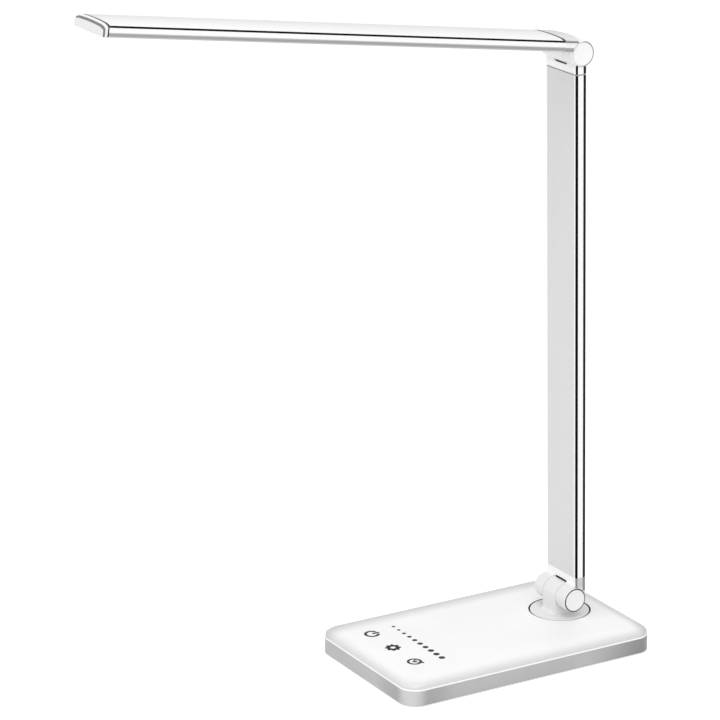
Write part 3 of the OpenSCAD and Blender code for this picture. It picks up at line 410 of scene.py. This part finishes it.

# %% [markdown]
# ## Finishes of the own pieces
# The bright edges of this lamp are cut into the aluminium after it is coated, and a polished chamfer mirrors
# what is round it. So one bar shows a satin panel, a white side and two dark lines. The satin panel is the
# bar's own finish. The white side is painted light: the same metal, drawn near white where light falls on it.
# The two dark lines are painted reflections of dark surroundings on the chamfers. Each is a finish of its
# own, kept in a second table by name, so that the pieces below can ask for it. The lip's highlight, the grey
# along the arm's foot and the pale edge lines on the moulded ends are painted light and shade as well.

# %% Own finishes
own = {
    "cover_white": finish("cover_white", grey(0.93), 0.32, coat=0.2),
    # painted highlight: the lip is whiter than the cover, as where light catches its rounded edge
    "lip_painted_highlight": finish("lip_painted_highlight", grey(0.98), 0.25, coat=0.3),
    "gap_shade": finish("gap_shade", grey(0.025), 0.7, gloss=0.1),
    "panel_satin": finish("panel_satin", grey(0.70), 0.50, 0.15, along=UPRIGHT, grain=3000),
    # painted light: the stem's sides and rim, the panel's metal drawn near white where light falls on it
    "painted_light_side": finish("painted_light_side", grey(0.97), 0.30, along=UPRIGHT, grain=3000),
    # painted dark reflection on the stem's front chamfers, also used as painted shade in the lower slot
    "dark_reflection_and_shade": finish("dark_reflection_and_shade", grey(0.003), 0.6, gloss=0.03),
    # painted dark reflection on the stem's rear chamfers and on the upper end
    "rear_dark_reflection": finish("rear_dark_reflection", grey(0.014), 0.6, gloss=0.05),
    "seam_grey": finish("seam_grey", grey(0.36), 0.5),
    "arm_pearl": finish("arm_pearl", grey(0.86), 0.34, 0.0, 0.2, along=LENGTHWAYS, grain=3000),
    "arm_side": finish("arm_side", grey(0.97), 0.30, along=LENGTHWAYS, grain=3000),
    # painted shade along the foot of the arm's side, with a paler grey at its two edges
    "arm_foot_shade": finish("arm_foot_shade", grey(0.34), 0.45, along=LENGTHWAYS, grain=3000),
    "foot_shade_edge": finish("foot_shade_edge", grey(0.56), 0.45, along=LENGTHWAYS, grain=3000),
    # painted dark reflection along the arm's rolled top edge
    "arm_dark_reflection": finish("arm_dark_reflection", grey(0.004), 0.6, gloss=0.03),
    "tip_white": finish("tip_white", grey(0.80), 0.38, coat=0.1),
    "tip_line": finish("tip_line", grey(0.20), 0.5, gloss=0.2),
    "seam_dark": finish("seam_dark", grey(0.02), 0.6, gloss=0.05),
    "root_silver": finish("root_silver", grey(0.72), 0.35, 0.2, tone=0.03),
    "cap_white": finish("cap_white", grey(0.95), 0.28, coat=0.3),
    "ring_low": finish("ring_low", grey(0.09), 0.5, gloss=0.2),
    "ring_up": finish("ring_up", grey(0.30), 0.5, gloss=0.2),
    # paler painted dark reflection on the edges of the moulded ends and the arm's root
    "pale_edge_reflection": finish("pale_edge_reflection", grey(0.22), 0.45),
    "side_low": finish("side_low", grey(0.58), 0.45),
    "slot_grey": finish("slot_grey", grey(0.06), 0.6, gloss=0.1),
    "print_ink": finish("print_ink", grey(0.035), 0.6, gloss=0.2),
}
print("own finishes:", len(own))

# %% [markdown]
# ## Greys that follow the place
# A real coat is even. In the photograph the same white still runs from light to grey over the lamp, because
# soft light falls off round its forms, and a few plain lamps don't repeat all of that. So some colours here
# are mixed with a second grey by the place on the object. More lamps could do it too, but each one would
# change every other face. The greys were set for the camera's side, so the lamp looks less even from behind
# than a real one would. They are read from object coordinates, so they stay with the piece when it moves or
# is turned.

# %% Mixing a grey in by place
def by_place(paint):
    tree = paint.node_tree
    color = next(n for n in tree.nodes if n.type == "GROUP").inputs["Color"]
    return tree, color, tree.nodes.new("ShaderNodeTexCoord").outputs["Object"]


def blend_grey(tree, color, measure, low, high, edge):
    ramp = tree.nodes.new("ShaderNodeMapRange")
    ramp.interpolation_type = "SMOOTHSTEP"
    ramp.inputs["From Min"].default_value = low * MM
    ramp.inputs["From Max"].default_value = high * MM
    mixed = tree.nodes.new("ShaderNodeMix")
    mixed.data_type = "RGBA"
    at_low, at_high, result = mixed.inputs[6], mixed.inputs[7], mixed.outputs[2]
    at_low.default_value = (*edge, 1)
    if color.is_linked:
        tree.links.new(color.links[0].from_socket, at_high)
    else:
        at_high.default_value = color.default_value[:]
    link_all(tree, [(measure, ramp.inputs["Value"]), (ramp.outputs[0], mixed.inputs[0]), (result, color)])


def shade_by(axis, paint, low, high, edge):
    tree, color, place = by_place(paint)
    apart = tree.nodes.new("ShaderNodeSeparateXYZ")
    tree.links.new(place, apart.inputs[0])
    blend_grey(tree, color, apart.outputs[axis], low, high, edge)
    print(paint.name, "changes along", axis, "from", low, "to", high, "mm")


# Painted shade by place: the arm's top and the root plate grey towards the far edge, the arm's seam darkens
# towards the near edge, the lower cap rings pale towards the far side and the upper ones towards the front,
# the cover greys down its rounded edge, the lower caps and the lower hinge plastic are greyer, and the upper
# end's white plastic greys from the barrel up.
shade_by("X", own["arm_pearl"], -18.0, 17.0, grey(0.60))
shade_by("X", own["root_silver"], -17.0, 17.0, grey(0.52))
shade_by("X", own["seam_dark"], -17.0, 14.0, grey(0.09))
shade_by("X", own["ring_low"], -15.0, 5.0, grey(0.75))
shade_by("Y", own["ring_up"], 44, 52, grey(0.78))
shade_by("Z", own["cover_white"], 12.2, 14.75, grey(0.70))
shade_by("Z", own["cap_white"], 30, 300, grey(0.87))
shade_by("Z", FINISHES["hinge_plastic"], 32.8, 34.6, grey(0.78))
shade_by("Z", FINISHES["white_plastic"], 339.0, 341.0, grey(0.99))

# %% [markdown]
# ## The cover's far sides and the silver band
# Two painted greys need more than one axis. The cover turns greyer towards its left and rear sides as painted
# shade, so the distance to the nearer of the two drives its mix, and a smooth minimum rounds the corner
# between them. The band carries a painted sheen: it is lightest at its front corner, darker beside it and
# darkest far back. A dot product measures the way back from that corner, as x and y together, and a colour
# ramp with a few stops turns it into greys.

# %% Greys of the cover's far sides and of the band
REAR_PACE, CORNER_BLEND = 1.66, 6
SHEEN_SPAN = BASE_W + BASE_L


def shade_far_edges(paint, low, high, edge):
    tree, color, place = by_place(paint)
    apart = tree.nodes.new("ShaderNodeSeparateXYZ")
    from_left, from_rear, nearest = [tree.nodes.new("ShaderNodeMath") for _ in range(3)]
    from_left.operation, from_rear.operation, nearest.operation = "ADD", "MULTIPLY_ADD", "SMOOTH_MIN"
    from_left.inputs[1].default_value = BASE_W / 2 * MM
    from_rear.inputs[1].default_value = -REAR_PACE
    from_rear.inputs[2].default_value = BASE_L / 2 * MM * REAR_PACE
    nearest.inputs[2].default_value = CORNER_BLEND * MM
    link_all(tree, [(place, apart.inputs[0]), (apart.outputs["X"], from_left.inputs[0]),
                    (apart.outputs["Y"], from_rear.inputs[0]), (from_left.outputs[0], nearest.inputs[0]),
                    (from_rear.outputs[0], nearest.inputs[1])])
    blend_grey(tree, color, nearest.outputs[0], low, high, edge)


def sheen_along(paint, stops):
    tree, color, place = by_place(paint)
    away = tree.nodes.new("ShaderNodeVectorMath")
    away.operation = "DOT_PRODUCT"
    away.inputs[1].default_value = (-1, 1, 0)
    reach = tree.nodes.new("ShaderNodeMapRange")
    reach.inputs["From Min"].default_value = -SHEEN_SPAN / 2 * MM
    reach.inputs["From Max"].default_value = SHEEN_SPAN / 2 * MM
    ramp = tree.nodes.new("ShaderNodeValToRGB")
    ramp.color_ramp.interpolation = "EASE"
    bar = ramp.color_ramp.elements
    while len(bar) < len(stops):
        bar.new(0.5)
    for element, (far, value) in zip(bar, stops):
        element.position, element.color = far / SHEEN_SPAN, (*grey(value), 1)
    link_all(tree, [(place, away.inputs[0]), (away.outputs["Value"], reach.inputs["Value"]),
                    (reach.outputs[0], ramp.inputs[0]), (ramp.outputs[0], color)])


# Painted shade on the cover's left and rear sides, and a painted sheen on the silver band.
shade_far_edges(own["cover_white"], 1.0, 19.0, grey(0.49))
sheen_along(FINISHES["silver_paint"], [(5.0, 0.62), (13.0, 0.38), (38.0, 0.48), (118.0, 0.48),
                                       (160.0, 0.26)])
print("the band's sheen is spread over", SHEEN_SPAN, "mm")

# %% [markdown]
# ## The cover
# The cover is a soft pillow: level in the middle, rounded off over the last 16 mm, with a thin
# upright lip where it meets the silver band. It could be a box with a large bevel, but a bevel
# is one even arc. Here the height follows a superellipse, which is steep at the edge and almost
# level soon after, and every contour keeps the corner radius of the base. A second set of
# contours makes the inner skin, and a cutter opens the round recess for the swivel disc.

# %% The cover's contours
CORNER_STEPS = 16


def contour(inset, z, corner=BASE_R):
    ring = []
    for quarter, (sx, sy) in enumerate(((1, 1), (-1, 1), (-1, -1), (1, -1))):
        cx, cy = sx * (BASE_W / 2 - inset - corner), sy * (BASE_L / 2 - inset - corner)
        for step in range(CORNER_STEPS + 1):
            a = (quarter + step / CORNER_STEPS) * pi / 2
            ring.append((cx + corner * cos(a), cy + corner * sin(a), z))
    return ring


def shoulder(inset, run, top, fall, fullness):
    return top - fall + fall * (1 - (1 - inset / run) ** fullness) ** (1 / fullness)


LIP_TOP, FULLNESS, CROWN_STEPS = 9.95, 2.7, 30
SKIRT_INSET, SKIRT_FOOT, INNER_FALL = 1.7, 3.6, 2.6
lip = [(0.30, BAND_TOP), (0.07, 9.28), (0.0, 9.45), (0.0, 9.78), (0.08, 9.96), (0.26, 10.10)]
crown = [(d, shoulder(d, CROWN_RUN, COVER_TOP, COVER_TOP - LIP_TOP, FULLNESS))
         for d in [CROWN_RUN * (0.02 + 0.98 * (i / CROWN_STEPS) ** 1.7) for i in range(CROWN_STEPS + 1)]]
inner_inset = SKIRT_INSET + COVER_T
inner = [(inner_inset + (CROWN_RUN - inner_inset) * i / 10,
          shoulder(i / 10, 1.0, CEILING, INNER_FALL, 2.0)) for i in range(10, -1, -1)]
skirt = [(inner_inset, SKIRT_FOOT), (SKIRT_INSET, SKIRT_FOOT), (SKIRT_INSET, BAND_TOP)]
cover_rings = [contour(d, z) for d, z in inner + skirt + lip + crown]
cover_points, cover_faces = skin(cover_rings)
lip_first = len(inner) + len(skirt) - 1
per_ring = len(cover_rings[0])
cover_paint = [1 if lip_first <= i // per_ring < lip_first + len(lip) else 0
               for i in range(len(cover_faces))]
# The lip takes the whiter finish, a painted highlight along its edge.
cover_skin = piece("cover_skin", cover_points, cover_faces, AT_DESK, "base",
                   [own["cover_white"], own["lip_painted_highlight"]], cover_paint, ["base_cover"], crease=25)

# %% The recess of the swivel disc
RIM, RECESS_DEEP, BEARING_R, CUP_R, CUP_LOW, CUP_HIGH = 0.45, 3.0, 8.85, 20.5, 9.4, 12.3
rim_r = DISC_R + DISC_GAP
swivel = (0, SWIVEL_Y, 0)
cutter_points, cutter_faces = skin(turned_part([(rim_r + RIM, 8.0), (rim_r + RIM, 16.0)], at=swivel))
cutter_mesh = bpy.data.meshes.new("recess_cutter")
cutter_mesh.from_pydata([tuple(Vector(p) * MM) for p in cutter_points], [], cutter_faces)
cutter = bpy.data.objects.new("recess_cutter", cutter_mesh)
scene.collection.objects.link(cutter)
cut = cover_skin.modifiers.new("recess", "BOOLEAN")
cut.operation, cut.solver, cut.object = "DIFFERENCE", "EXACT", cutter
opened = bpy.data.meshes.new_from_object(cover_skin.evaluated_get(bpy.context.evaluated_depsgraph_get()))
cover_skin.modifiers.clear()
cover_skin.data = opened
bpy.data.objects.remove(cutter)
opened.shade_smooth()
opened.set_sharp_from_angle(angle=radians(25))

cup = [(rim_r + RIM, COVER_TOP), (rim_r + 0.22, COVER_TOP - 0.03), (rim_r + 0.07, COVER_TOP - 0.13),
       (rim_r, COVER_TOP - RIM), (rim_r, COVER_TOP - RECESS_DEEP), (BEARING_R, COVER_TOP - RECESS_DEEP),
       (BEARING_R, CUP_LOW), (CUP_R, CUP_LOW), (CUP_R, CUP_HIGH), (rim_r + RIM, CUP_HIGH),
       (rim_r + RIM, COVER_TOP)]
cup_points, cup_faces = skin(turned_part(cup, at=swivel), (False, False))
piece("recess_cup", cup_points, cup_faces, AT_DESK, "base",
      [own["cover_white"], own["gap_shade"]], [min(i // TURN_STEPS, 1) for i in range(len(cup_faces))])

# %% [markdown]
# ## Keys and dots
# The touch keys are printed on the cover, so they are thin films of ink and nothing more. An
# image texture would do it in one step, but a drawn stroke stays sharp at any size: each sign
# is a set of strokes, and a stroke is a strip of quads along a path.

# %% Strokes of ink
INK_Z = COVER_TOP + 0.02


def stroke(path, width, closed=False):
    points, faces = [], []
    count = len(path)
    for i, (x, y) in enumerate(path):
        before = path[i - 1] if i or closed else path[0]
        after = path[(i + 1) % count] if i < count - 1 or closed else path[-1]
        run = Vector((after[0] - before[0], after[1] - before[1])).normalized() * width / 2
        points += [(x - run.y, y + run.x), (x + run.y, y - run.x)]
    for i in range(count if closed else count - 1):
        a, b = 2 * i, 2 * ((i + 1) % count)
        faces.append((a, a + 1, b + 1, b))
    return points, faces


def arc_path(r, start, end, steps=40, centre=(0, 0)):
    angles = [radians(start + (end - start) * i / steps) for i in range(steps + 1)]
    return [(centre[0] + r * cos(a), centre[1] + r * sin(a)) for a in angles]


def blob(r, centre, steps=28):
    ring = [(centre[0] + r * cos(2 * pi * i / steps), centre[1] + r * sin(2 * pi * i / steps))
            for i in range(steps)]
    return ring, [tuple(range(steps))]


def print_sign(name, shapes, x, y):
    points, faces = [], []
    for shape_points, shape_faces in shapes:
        first = len(points)
        points += [(x + px, y + py, INK_Z) for px, py in shape_points]
        faces += [tuple(first + i for i in face) for face in shape_faces]
    return piece(name, points, faces, AT_DESK, "base", [own["print_ink"]])


print("ink lies at", INK_Z, "mm")

# %% The three keys and the row of dots
KEY_Y, KEY_PITCH = -62.6, 23.25
DOT_Y, DOT_COUNT, DOT_PITCH, DOT_R, DOT_GROWTH = -46.4, 10, 5.83, 1.05, 0.85
power = [stroke(arc_path(3.7, 115, 425), 1.7), stroke([(0, 0.4), (0, 4.8)], 1.7)]
rays = [blob(0.95, (3.75 * cos(a), 3.75 * sin(a))) for a in [radians(22.5 + 45 * i) for i in range(8)]]
sun = [stroke(arc_path(2.6, 0, 351, 39), 2.2, True)] + rays
timer = [stroke(arc_path(3.6, 0, 351, 39), 1.5, True), stroke([(2.7, 2.7), (4.0, 4.0)], 1.5),
         stroke([(-2.0, 1.9), (0, -1.3), (2.0, 1.9)], 1.0), stroke([(0, -0.4), (0, 2.0)], 0.9)]
print_sign("key_power", power, -KEY_PITCH, KEY_Y)
print_sign("key_light", sun, 0, KEY_Y)
print_sign("key_timer", timer, KEY_PITCH, KEY_Y)
dots = [blob(DOT_R + DOT_GROWTH * sin(radians(11 * max(0, i - 1))),
             (DOT_PITCH * (i - (DOT_COUNT - 1) / 2), 0)) for i in range(DOT_COUNT)]
print_sign("level_dots", dots, 0, DOT_Y)

# %% [markdown]
# ## The stem
# The stem is a flat extrusion. Its section is drawn once, with a finish on each side of the outline: the
# satin panel, its cut rim, the front chamfer in a painted dark reflection, the side in painted light and the
# rear corner in a painted dark reflection. The rim is painted light as well, wide on the right and narrow on
# the left. The rings at each end are drawn in a little, which leaves the fine seam that the real bar shows
# where it meets its moulded ends. At the upper end the seam is grey as well.

# %% The stem's section
half_w, half_t, e = STEM_W / 2, STEM_T / 2, STEM_EDGE
RIM_W, REAR_FROM, DARK_REFLECTION_MORE = 1.6, 1.1, 0.3
right_side = [((half_w - e - RIM_W - 0.08, -half_t + 0.1), "painted_light_side"),
              ((half_w - e - RIM_W, -half_t), "painted_light_side"),
              ((half_w - e - DARK_REFLECTION_MORE, -half_t), "dark_reflection_and_shade"), ((half_w - e, -half_t), "dark_reflection_and_shade"),
              ((half_w, -half_t + e), "dark_reflection_and_shade"), ((half_w, -half_t + e + DARK_REFLECTION_MORE / 2), "painted_light_side"),
              ((half_w, REAR_FROM), "rear_dark_reflection"), ((half_w, half_t - e), "rear_dark_reflection"),
              ((half_w - e, half_t), "panel_satin")]
left_side = [((-half_w + e, half_t), "rear_dark_reflection"), ((-half_w, half_t - e), "rear_dark_reflection"),
             ((-half_w, REAR_FROM), "painted_light_side"), ((-half_w, -half_t + e + DARK_REFLECTION_MORE / 2), "dark_reflection_and_shade"),
             ((-half_w, -half_t + e), "dark_reflection_and_shade"), ((-half_w + e, -half_t), "painted_light_side"),
             ((-half_w + e + 0.3, -half_t), "painted_light_side"),
             ((-half_w + e + 0.38, -half_t + 0.1), "panel_satin")]
stem_section = right_side + left_side


def bar_rings(section, stations, turn, mid=(0, 0)):
    rings = []
    for along, draw in stations:
        ring = []
        for (x, y), _ in section:
            dx, dy = x - mid[0], y - mid[1]
            scale_x = 1 - draw / max(abs(p[0][0] - mid[0]) for p in section)
            scale_y = 1 - draw / max(abs(p[0][1] - mid[1]) for p in section)
            ring.append(turn(mid[0] + dx * scale_x, mid[1] + dy * scale_y, along))
        rings.append(ring)
    return rings


def section_paints(section, rings, seams, paints, seam="seam_grey", open_on=None):
    order = list(dict.fromkeys(name for _, name in section)) + [seam]
    paint_of = []
    for r in range(rings - 1):
        for _, name in section:
            seamed = r in seams and (open_on is None or name in open_on)
            paint_of.append(order.index(seam if seamed else name))
    return [paints[name] for name in order], paint_of + [0, 0]


stem_from, stem_to = LOW_SEAM, STEM_SPAN - UP_SEAM
stations = [(stem_from, 0.2), (stem_from + 0.25, 0.2), (stem_from + 0.25, 0), (stem_to - 0.75, 0),
            (stem_to - 0.75, 0.25), (stem_to, 0.25)]
stem_rings = bar_rings(stem_section, stations, lambda x, y, z: (x, LOW_MID + y, z))
paints, paint_of = section_paints(stem_section, len(stem_rings), (3, 4), own)
points, faces = skin(stem_rings)
piece("stem_profile", points, faces, AT_LOWER, "stem", paints, paint_of,
      ["stem_tube"], crease=20)


# %% [markdown]
# ## Lines that run on over the moulded ends
# The painted dark reflections on the bar's chamfers carry on over its moulded ends until they meet the round
# caps. They are paler on the lower end, where a grey film also covers the side. The ends keep their CAD
# solids, so the lines are thin films that lie on the chamfers. Each film is a strip between two corner lines
# of the same section.

# %% Films on the moulded ends
LIFT = 0.03


def film(name, corners, start, end, mid, paint, where):
    points, faces = [], []
    upright = len(corners) == 2 and corners[0][0] == corners[1][0]
    over = 1 if sum(y for _, y in corners) > 0 else -1
    ux, uy = (0.98, 0.2 * over) if upright else (0.7, 0.7 * over)
    for side in (-1, 1):
        first = len(points)
        for x, y in corners:
            for z in (start, end):
                points.append((side * (x + LIFT * ux), mid + y + LIFT * uy, z))
        for i in range(len(corners) - 1):
            a = first + 2 * i
            faces.append((a, a + 1, a + 3, a + 2))
    return piece(name, points, faces, where, "stem", [own[paint]])


front_chamfer = [(half_w - e, -half_t), (half_w, -half_t + e)]
rear_corner = [(half_w, REAR_FROM), (half_w, half_t - e), (half_w - e, half_t)]
UPSIDE = AT_UPPER @ Matrix.Scale(-1, 4, (0, 0, 1))
film("upper_front_line", front_chamfer, 6.3, UP_SEAM, UP_MID, "dark_reflection_and_shade", UPSIDE)
film("upper_rear_line", rear_corner, 7.0, UP_SEAM, UP_MID, "rear_dark_reflection", UPSIDE)
film("lower_front_line", front_chamfer, 7.1, LOW_SEAM, LOW_MID, "pale_edge_reflection", AT_LOWER)
film("lower_rear_line", rear_corner, 4.6, LOW_SEAM, LOW_MID, "pale_edge_reflection", AT_LOWER)
film("lower_side", [(half_w, -half_t + e), (half_w, REAR_FROM)], 7.0, LOW_SEAM, LOW_MID, "side_low",
     AT_LOWER)

# %% [markdown]
# ## Shade in the two slots
# Each moulded end has a narrow slot in its front, over the middle knuckle, and the solid has it
# too. Its shade is drawn by a thin dark film with round ends that lies in front of it, and at
# the upper end a strip in the plastic's own white covers what the film leaves open. A deeper
# slot in the solid would give real shade. A film was chosen because the solids were finished.

# %% Films for the two slots
SLOT_HALF = 5.35


def slot_shade(name, mid, low, high, slot_top, where, ink):
    points, faces = [], []
    half = (high - low) / 2
    columns = [-SLOT_HALF + half * (1 - cos(radians(15 * i))) for i in range(7)]
    columns += [-x for x in reversed(columns)]
    for x in columns:
        over = max(0.0, abs(x) - (SLOT_HALF - half)) / half
        reach = half * sqrt(max(0.0, 1 - over * over)) + 0.02
        for z in (low + half - reach, low + half + reach):
            points.append((x, mid - half_t - 0.03, z))
    for x in (-SLOT_HALF, SLOT_HALF):
        for z in (high, slot_top):
            points.append((x, mid - half_t + 0.02, z))
    for i in range(len(columns) - 1):
        faces.append((2 * i, 2 * i + 1, 2 * i + 3, 2 * i + 2))
    first = 2 * len(columns)
    paint_of = [0] * len(faces)
    if slot_top - high > 0.2:
        faces.append((first, first + 1, first + 3, first + 2))
        paint_of.append(1)
    else:
        points = points[:first]
    return piece(name, points, faces, where, "stem", [own[ink], FINISHES["white_plastic"]],
                 paint_of)


slot_shade("lower_slot_shade", LOW_MID, 7.45, 8.6, 8.6, AT_LOWER, "dark_reflection_and_shade")
slot_shade("upper_slot_shade", UP_MID, 6.65, 7.4, 8.2, UPSIDE, "slot_grey")

# %% [markdown]
# ## The hinge caps
# A cap is a turned button: a nearly flat face with a fine raised rim, and outside it a lower
# ring in a darker finish, for the shade between cap and knuckle. Turning a profile gives all
# of that, and the profile is mirrored for the far end of each hinge.

# %% Caps on both hinges
cap_profile = [(0.01, 15.93), (5.75, 15.90), (6.05, 15.97), (6.25, 15.97), (6.34, 15.90),
               (6.36, 15.84), (7.06, 15.78), (CAP_R, 15.70), (CAP_R, KNUCKLE_END), (0.01, KNUCKLE_END)]
GROOVE_BANDS = (4, 5, 6)


def caps(name, where, ring, stands_for):
    points, faces, paint_of = [], [], []
    for side in (1, -1):
        profile = [(r, side * x) for r, x in cap_profile]
        more, quads = skin(turned_part(profile, "X"), (False, False))
        first = len(points)
        points += more
        faces += [tuple(first + i for i in quad) for quad in quads]
        paint_of += [1 if i // TURN_STEPS in GROOVE_BANDS else 0 for i in range(len(quads))]
    piece(name, points, faces, where, "stem", [own["cap_white"], own[ring]],
          paint_of, [stands_for])


caps("lower_caps", AT_LOWER, "ring_low", "lower_hinge_caps")
caps("upper_caps", AT_UPPER, "ring_up", "upper_hinge_caps")

# %% [markdown]
# ## The arm
# The arm is a wider extrusion, upside down: a channel whose lips pass on both sides of the folded stem, with
# a gently crowned top that rolls over near its long edges. Its outline is two arcs, then the cut edge in a
# painted dark reflection, the white side and a grey strip of painted shade that runs along its foot.

# %% The arm's section
CROWN_R, ROLL_R, ROLL_X = 5.75 * ARM_W, 0.4 * ARM_W, 0.345 * ARM_W
ROLL_SHARE = 1 - ROLL_R / CROWN_R
ROLL_Z = ARM_TOP - CROWN_R + sqrt(CROWN_R ** 2 - ROLL_X ** 2) * ROLL_SHARE


def crown_z(x):
    if abs(x) <= ROLL_X:
        return ARM_TOP - CROWN_R + sqrt(CROWN_R ** 2 - x * x)
    return ROLL_Z + sqrt(ROLL_R ** 2 - (abs(x) - ROLL_X * ROLL_SHARE) ** 2)


arm_half, STRIP_TOP, DARK_REFLECTION_X = ARM_W / 2, 3.7, 15.9
half_outline = [((DARK_REFLECTION_X * i / 14, crown_z(DARK_REFLECTION_X * i / 14)), "arm_pearl") for i in range(14)]
half_outline += [((DARK_REFLECTION_X, crown_z(DARK_REFLECTION_X)), "arm_dark_reflection"), ((16.87, crown_z(16.87)), "arm_dark_reflection"),
                 ((arm_half - 0.08, ARM_FLAT - ARM_EDGE + 0.08), "arm_side"),
                 ((arm_half, STRIP_TOP), "foot_shade_edge"), ((arm_half, STRIP_TOP - 0.5), "arm_foot_shade"),
                 ((arm_half, ARM_LOW + ARM_EDGE), "foot_shade_edge"),
                 ((arm_half - ARM_EDGE, ARM_LOW), "arm_foot_shade"), ((NEST_HALF, ARM_LOW), "arm_side"),
                 ((NEST_HALF, NEST_Z), "arm_side"), ((NEST_HALF + 0.6, NEST_Z), "arm_side"),
                 ((NEST_HALF + 0.6, NEST_Z + DIFFUSER_T + 0.1), "arm_side"),
                 ((NEST_HALF - 1.2, NEST_Z + DIFFUSER_T + 0.1), "arm_side"),
                 ((NEST_HALF - 1.2, 6.0), "arm_side"),
                 ((LED_W / 2 + 0.1, 6.0), "arm_side"), ((LED_W / 2 + 0.1, 6.5), "arm_side")]


def both_halves(half):
    corners = [p for p, _ in half]
    names = [n for _, n in half]
    mirrored = [((-x, z), names[i - 1]) for i, (x, z) in reversed(list(enumerate(corners))) if i > 0]
    return list(zip(corners, names)) + mirrored


arm_section = both_halves(half_outline)
arm_mid = (0, 4.6)
TOP_SEAM = 0.8
stations = [(ARM_SEAM, 0.08), (ARM_SEAM + 1.1, 0.08), (ARM_SEAM + 1.1, 0),
            (ARM_REACH - TIP_L - TOP_SEAM, 0), (ARM_REACH - TIP_L, 0)]
arm_rings = bar_rings(arm_section, stations, lambda x, z, d: (x, -d, z), arm_mid)
paints, paint_of = section_paints(arm_section, len(arm_rings), (0, 1, 3), own, "seam_dark",
                                 ("arm_pearl", "arm_dark_reflection"))
points, faces = skin(arm_rings)
piece("arm_profile", points, faces, AT_ARM, "arm", paints, paint_of,
      ["arm_shell"], crease=20)

# %% [markdown]
# ## The tip of the arm
# The end piece starts with a dark groove, swells to the arm's full section, then rounds over
# to a flat end face that lies a little lower and narrower. The rounding is six rings, each a
# bit smaller than the last and a bit further out. The three bands after it, which run down to
# the end face, are grey and show as the second line of the tip.

# %% The tip cap
tip_outline = half_outline[:15] + [((16.4, crown_z(16.4)), ""), ((16.87, crown_z(16.87)), ""),
                                   ((arm_half, ARM_FLAT - ARM_EDGE), ""), ((arm_half, 3.4), ""),
                                   ((arm_half, ARM_LOW + ARM_EDGE), ""), ((arm_half - ARM_EDGE, ARM_LOW), "")]
tip_section = both_halves(tip_outline)


def tip_ring(distance, side_in, top_down):
    ring = []
    for (x, z), _ in tip_section:
        near_x = x * (1 - side_in / arm_half)
        near_z = min(z, ARM_TOP) - top_down * max(0.0, (z - ARM_LOW) / (ARM_TOP - ARM_LOW)) ** 0.7
        ring.append((near_x, -distance, near_z))
    return ring


tip_from = ARM_REACH - TIP_L
tip_stations = [(tip_from, 0.12, 0.12), (tip_from + 0.75, 0.12, 0.12), (tip_from + 0.77, 0.03, 0.03),
                (tip_from + 1.1, 0, 0)]
tip_stations += [(tip_from + 1.1 + 0.95 * sin(a), 0.45 * (1 - cos(a)), 0.9 * (1 - cos(a)))
                 for a in [radians(15 * i) for i in range(1, 7)]]
tip_stations += [(tip_from + 2.1, 0.7, 1.2), (tip_from + 2.5, 1.0, 1.95), (ARM_REACH, 1.1, 2.1)]
tip_rings = [tip_ring(*station) for station in tip_stations]
points, faces = skin(tip_rings)
per_ring = len(tip_section)
GROOVE, END_LINE = 1, 2
band_paint = {0: GROOVE, 1: GROOVE, 9: END_LINE, 10: END_LINE, 11: END_LINE}
paint_of = [band_paint.get(i // per_ring, 0) for i in range(len(faces))]
paint_of[-1] = paint_of[-2] = 0
piece("arm_end", points, faces, AT_ARM, "arm",
      [own["tip_white"], own["seam_dark"], own["tip_line"]], paint_of, ["arm_tip_cap"])

# %% [markdown]
# ## The root of the arm
# The moulded root carries a thin silver plate between the arm's seam and the knuckles. The painted dark
# reflections on the arm's edges run on over it in a paler grey, and so does the painted shade along the arm's
# foot. The plate follows the same crown as the arm, so it is a small grid whose height is read from the
# crown's formula. Its last band, next to the arm, is the dark seam.

# %% The plate and lines on the root
RELIEF_R, PLATE_LIFT, PLATE_HALF, COLUMNS, STEPS = 8.2, 0.05, 16.5, 44, 6


def plate_start(x):
    if abs(x) < 6.4:
        return 0.6
    return sqrt(max(RELIEF_R ** 2 - crown_z(x) ** 2, 0.2)) + 0.15


columns = [-PLATE_HALF + 2 * PLATE_HALF * i / COLUMNS for i in range(COLUMNS + 1)]
points, faces, paint_of = [], [], []
for x in columns:
    start, end = plate_start(x), ARM_SEAM - 0.85
    for distance in [start + (end - start) * step / STEPS for step in range(STEPS + 1)] + [ARM_SEAM - 0.02]:
        points.append((x, -distance, crown_z(x) + PLATE_LIFT))
for i in range(len(columns) - 1):
    for step in range(STEPS + 1):
        a = i * (STEPS + 2) + step
        faces.append((a, a + 1, a + STEPS + 3, a + STEPS + 2))
        paint_of.append(step // STEPS)
piece("root_plate", points, faces, AT_ARM, "arm",
      [own["root_silver"], own["seam_dark"]], paint_of)


def root_film(name, corners, start, end, paint):
    points, faces = [], []
    for side in (-1, 1):
        first = len(points)
        for x, z in corners:
            for distance in (start, end):
                points.append((side * x, -distance, z))
        for i in range(len(corners) - 1):
            a = first + 2 * i
            faces.append((a, a + 1, a + 3, a + 2))
    piece(name, points, faces, AT_ARM, "arm", [own[paint]])


root_film("root_edge_line", [(DARK_REFLECTION_X, crown_z(DARK_REFLECTION_X) + 0.06), (16.45, crown_z(16.45) + 0.06),
                             (16.95, crown_z(16.87) + 0.05), (17.44, 6.12)], 4.6, ARM_SEAM, "pale_edge_reflection")
root_film("root_foot_shade", [(17.43, 3.3), (17.43, 1.85), (16.6, 1.02)], 7.6, ARM_SEAM, "arm_foot_shade")
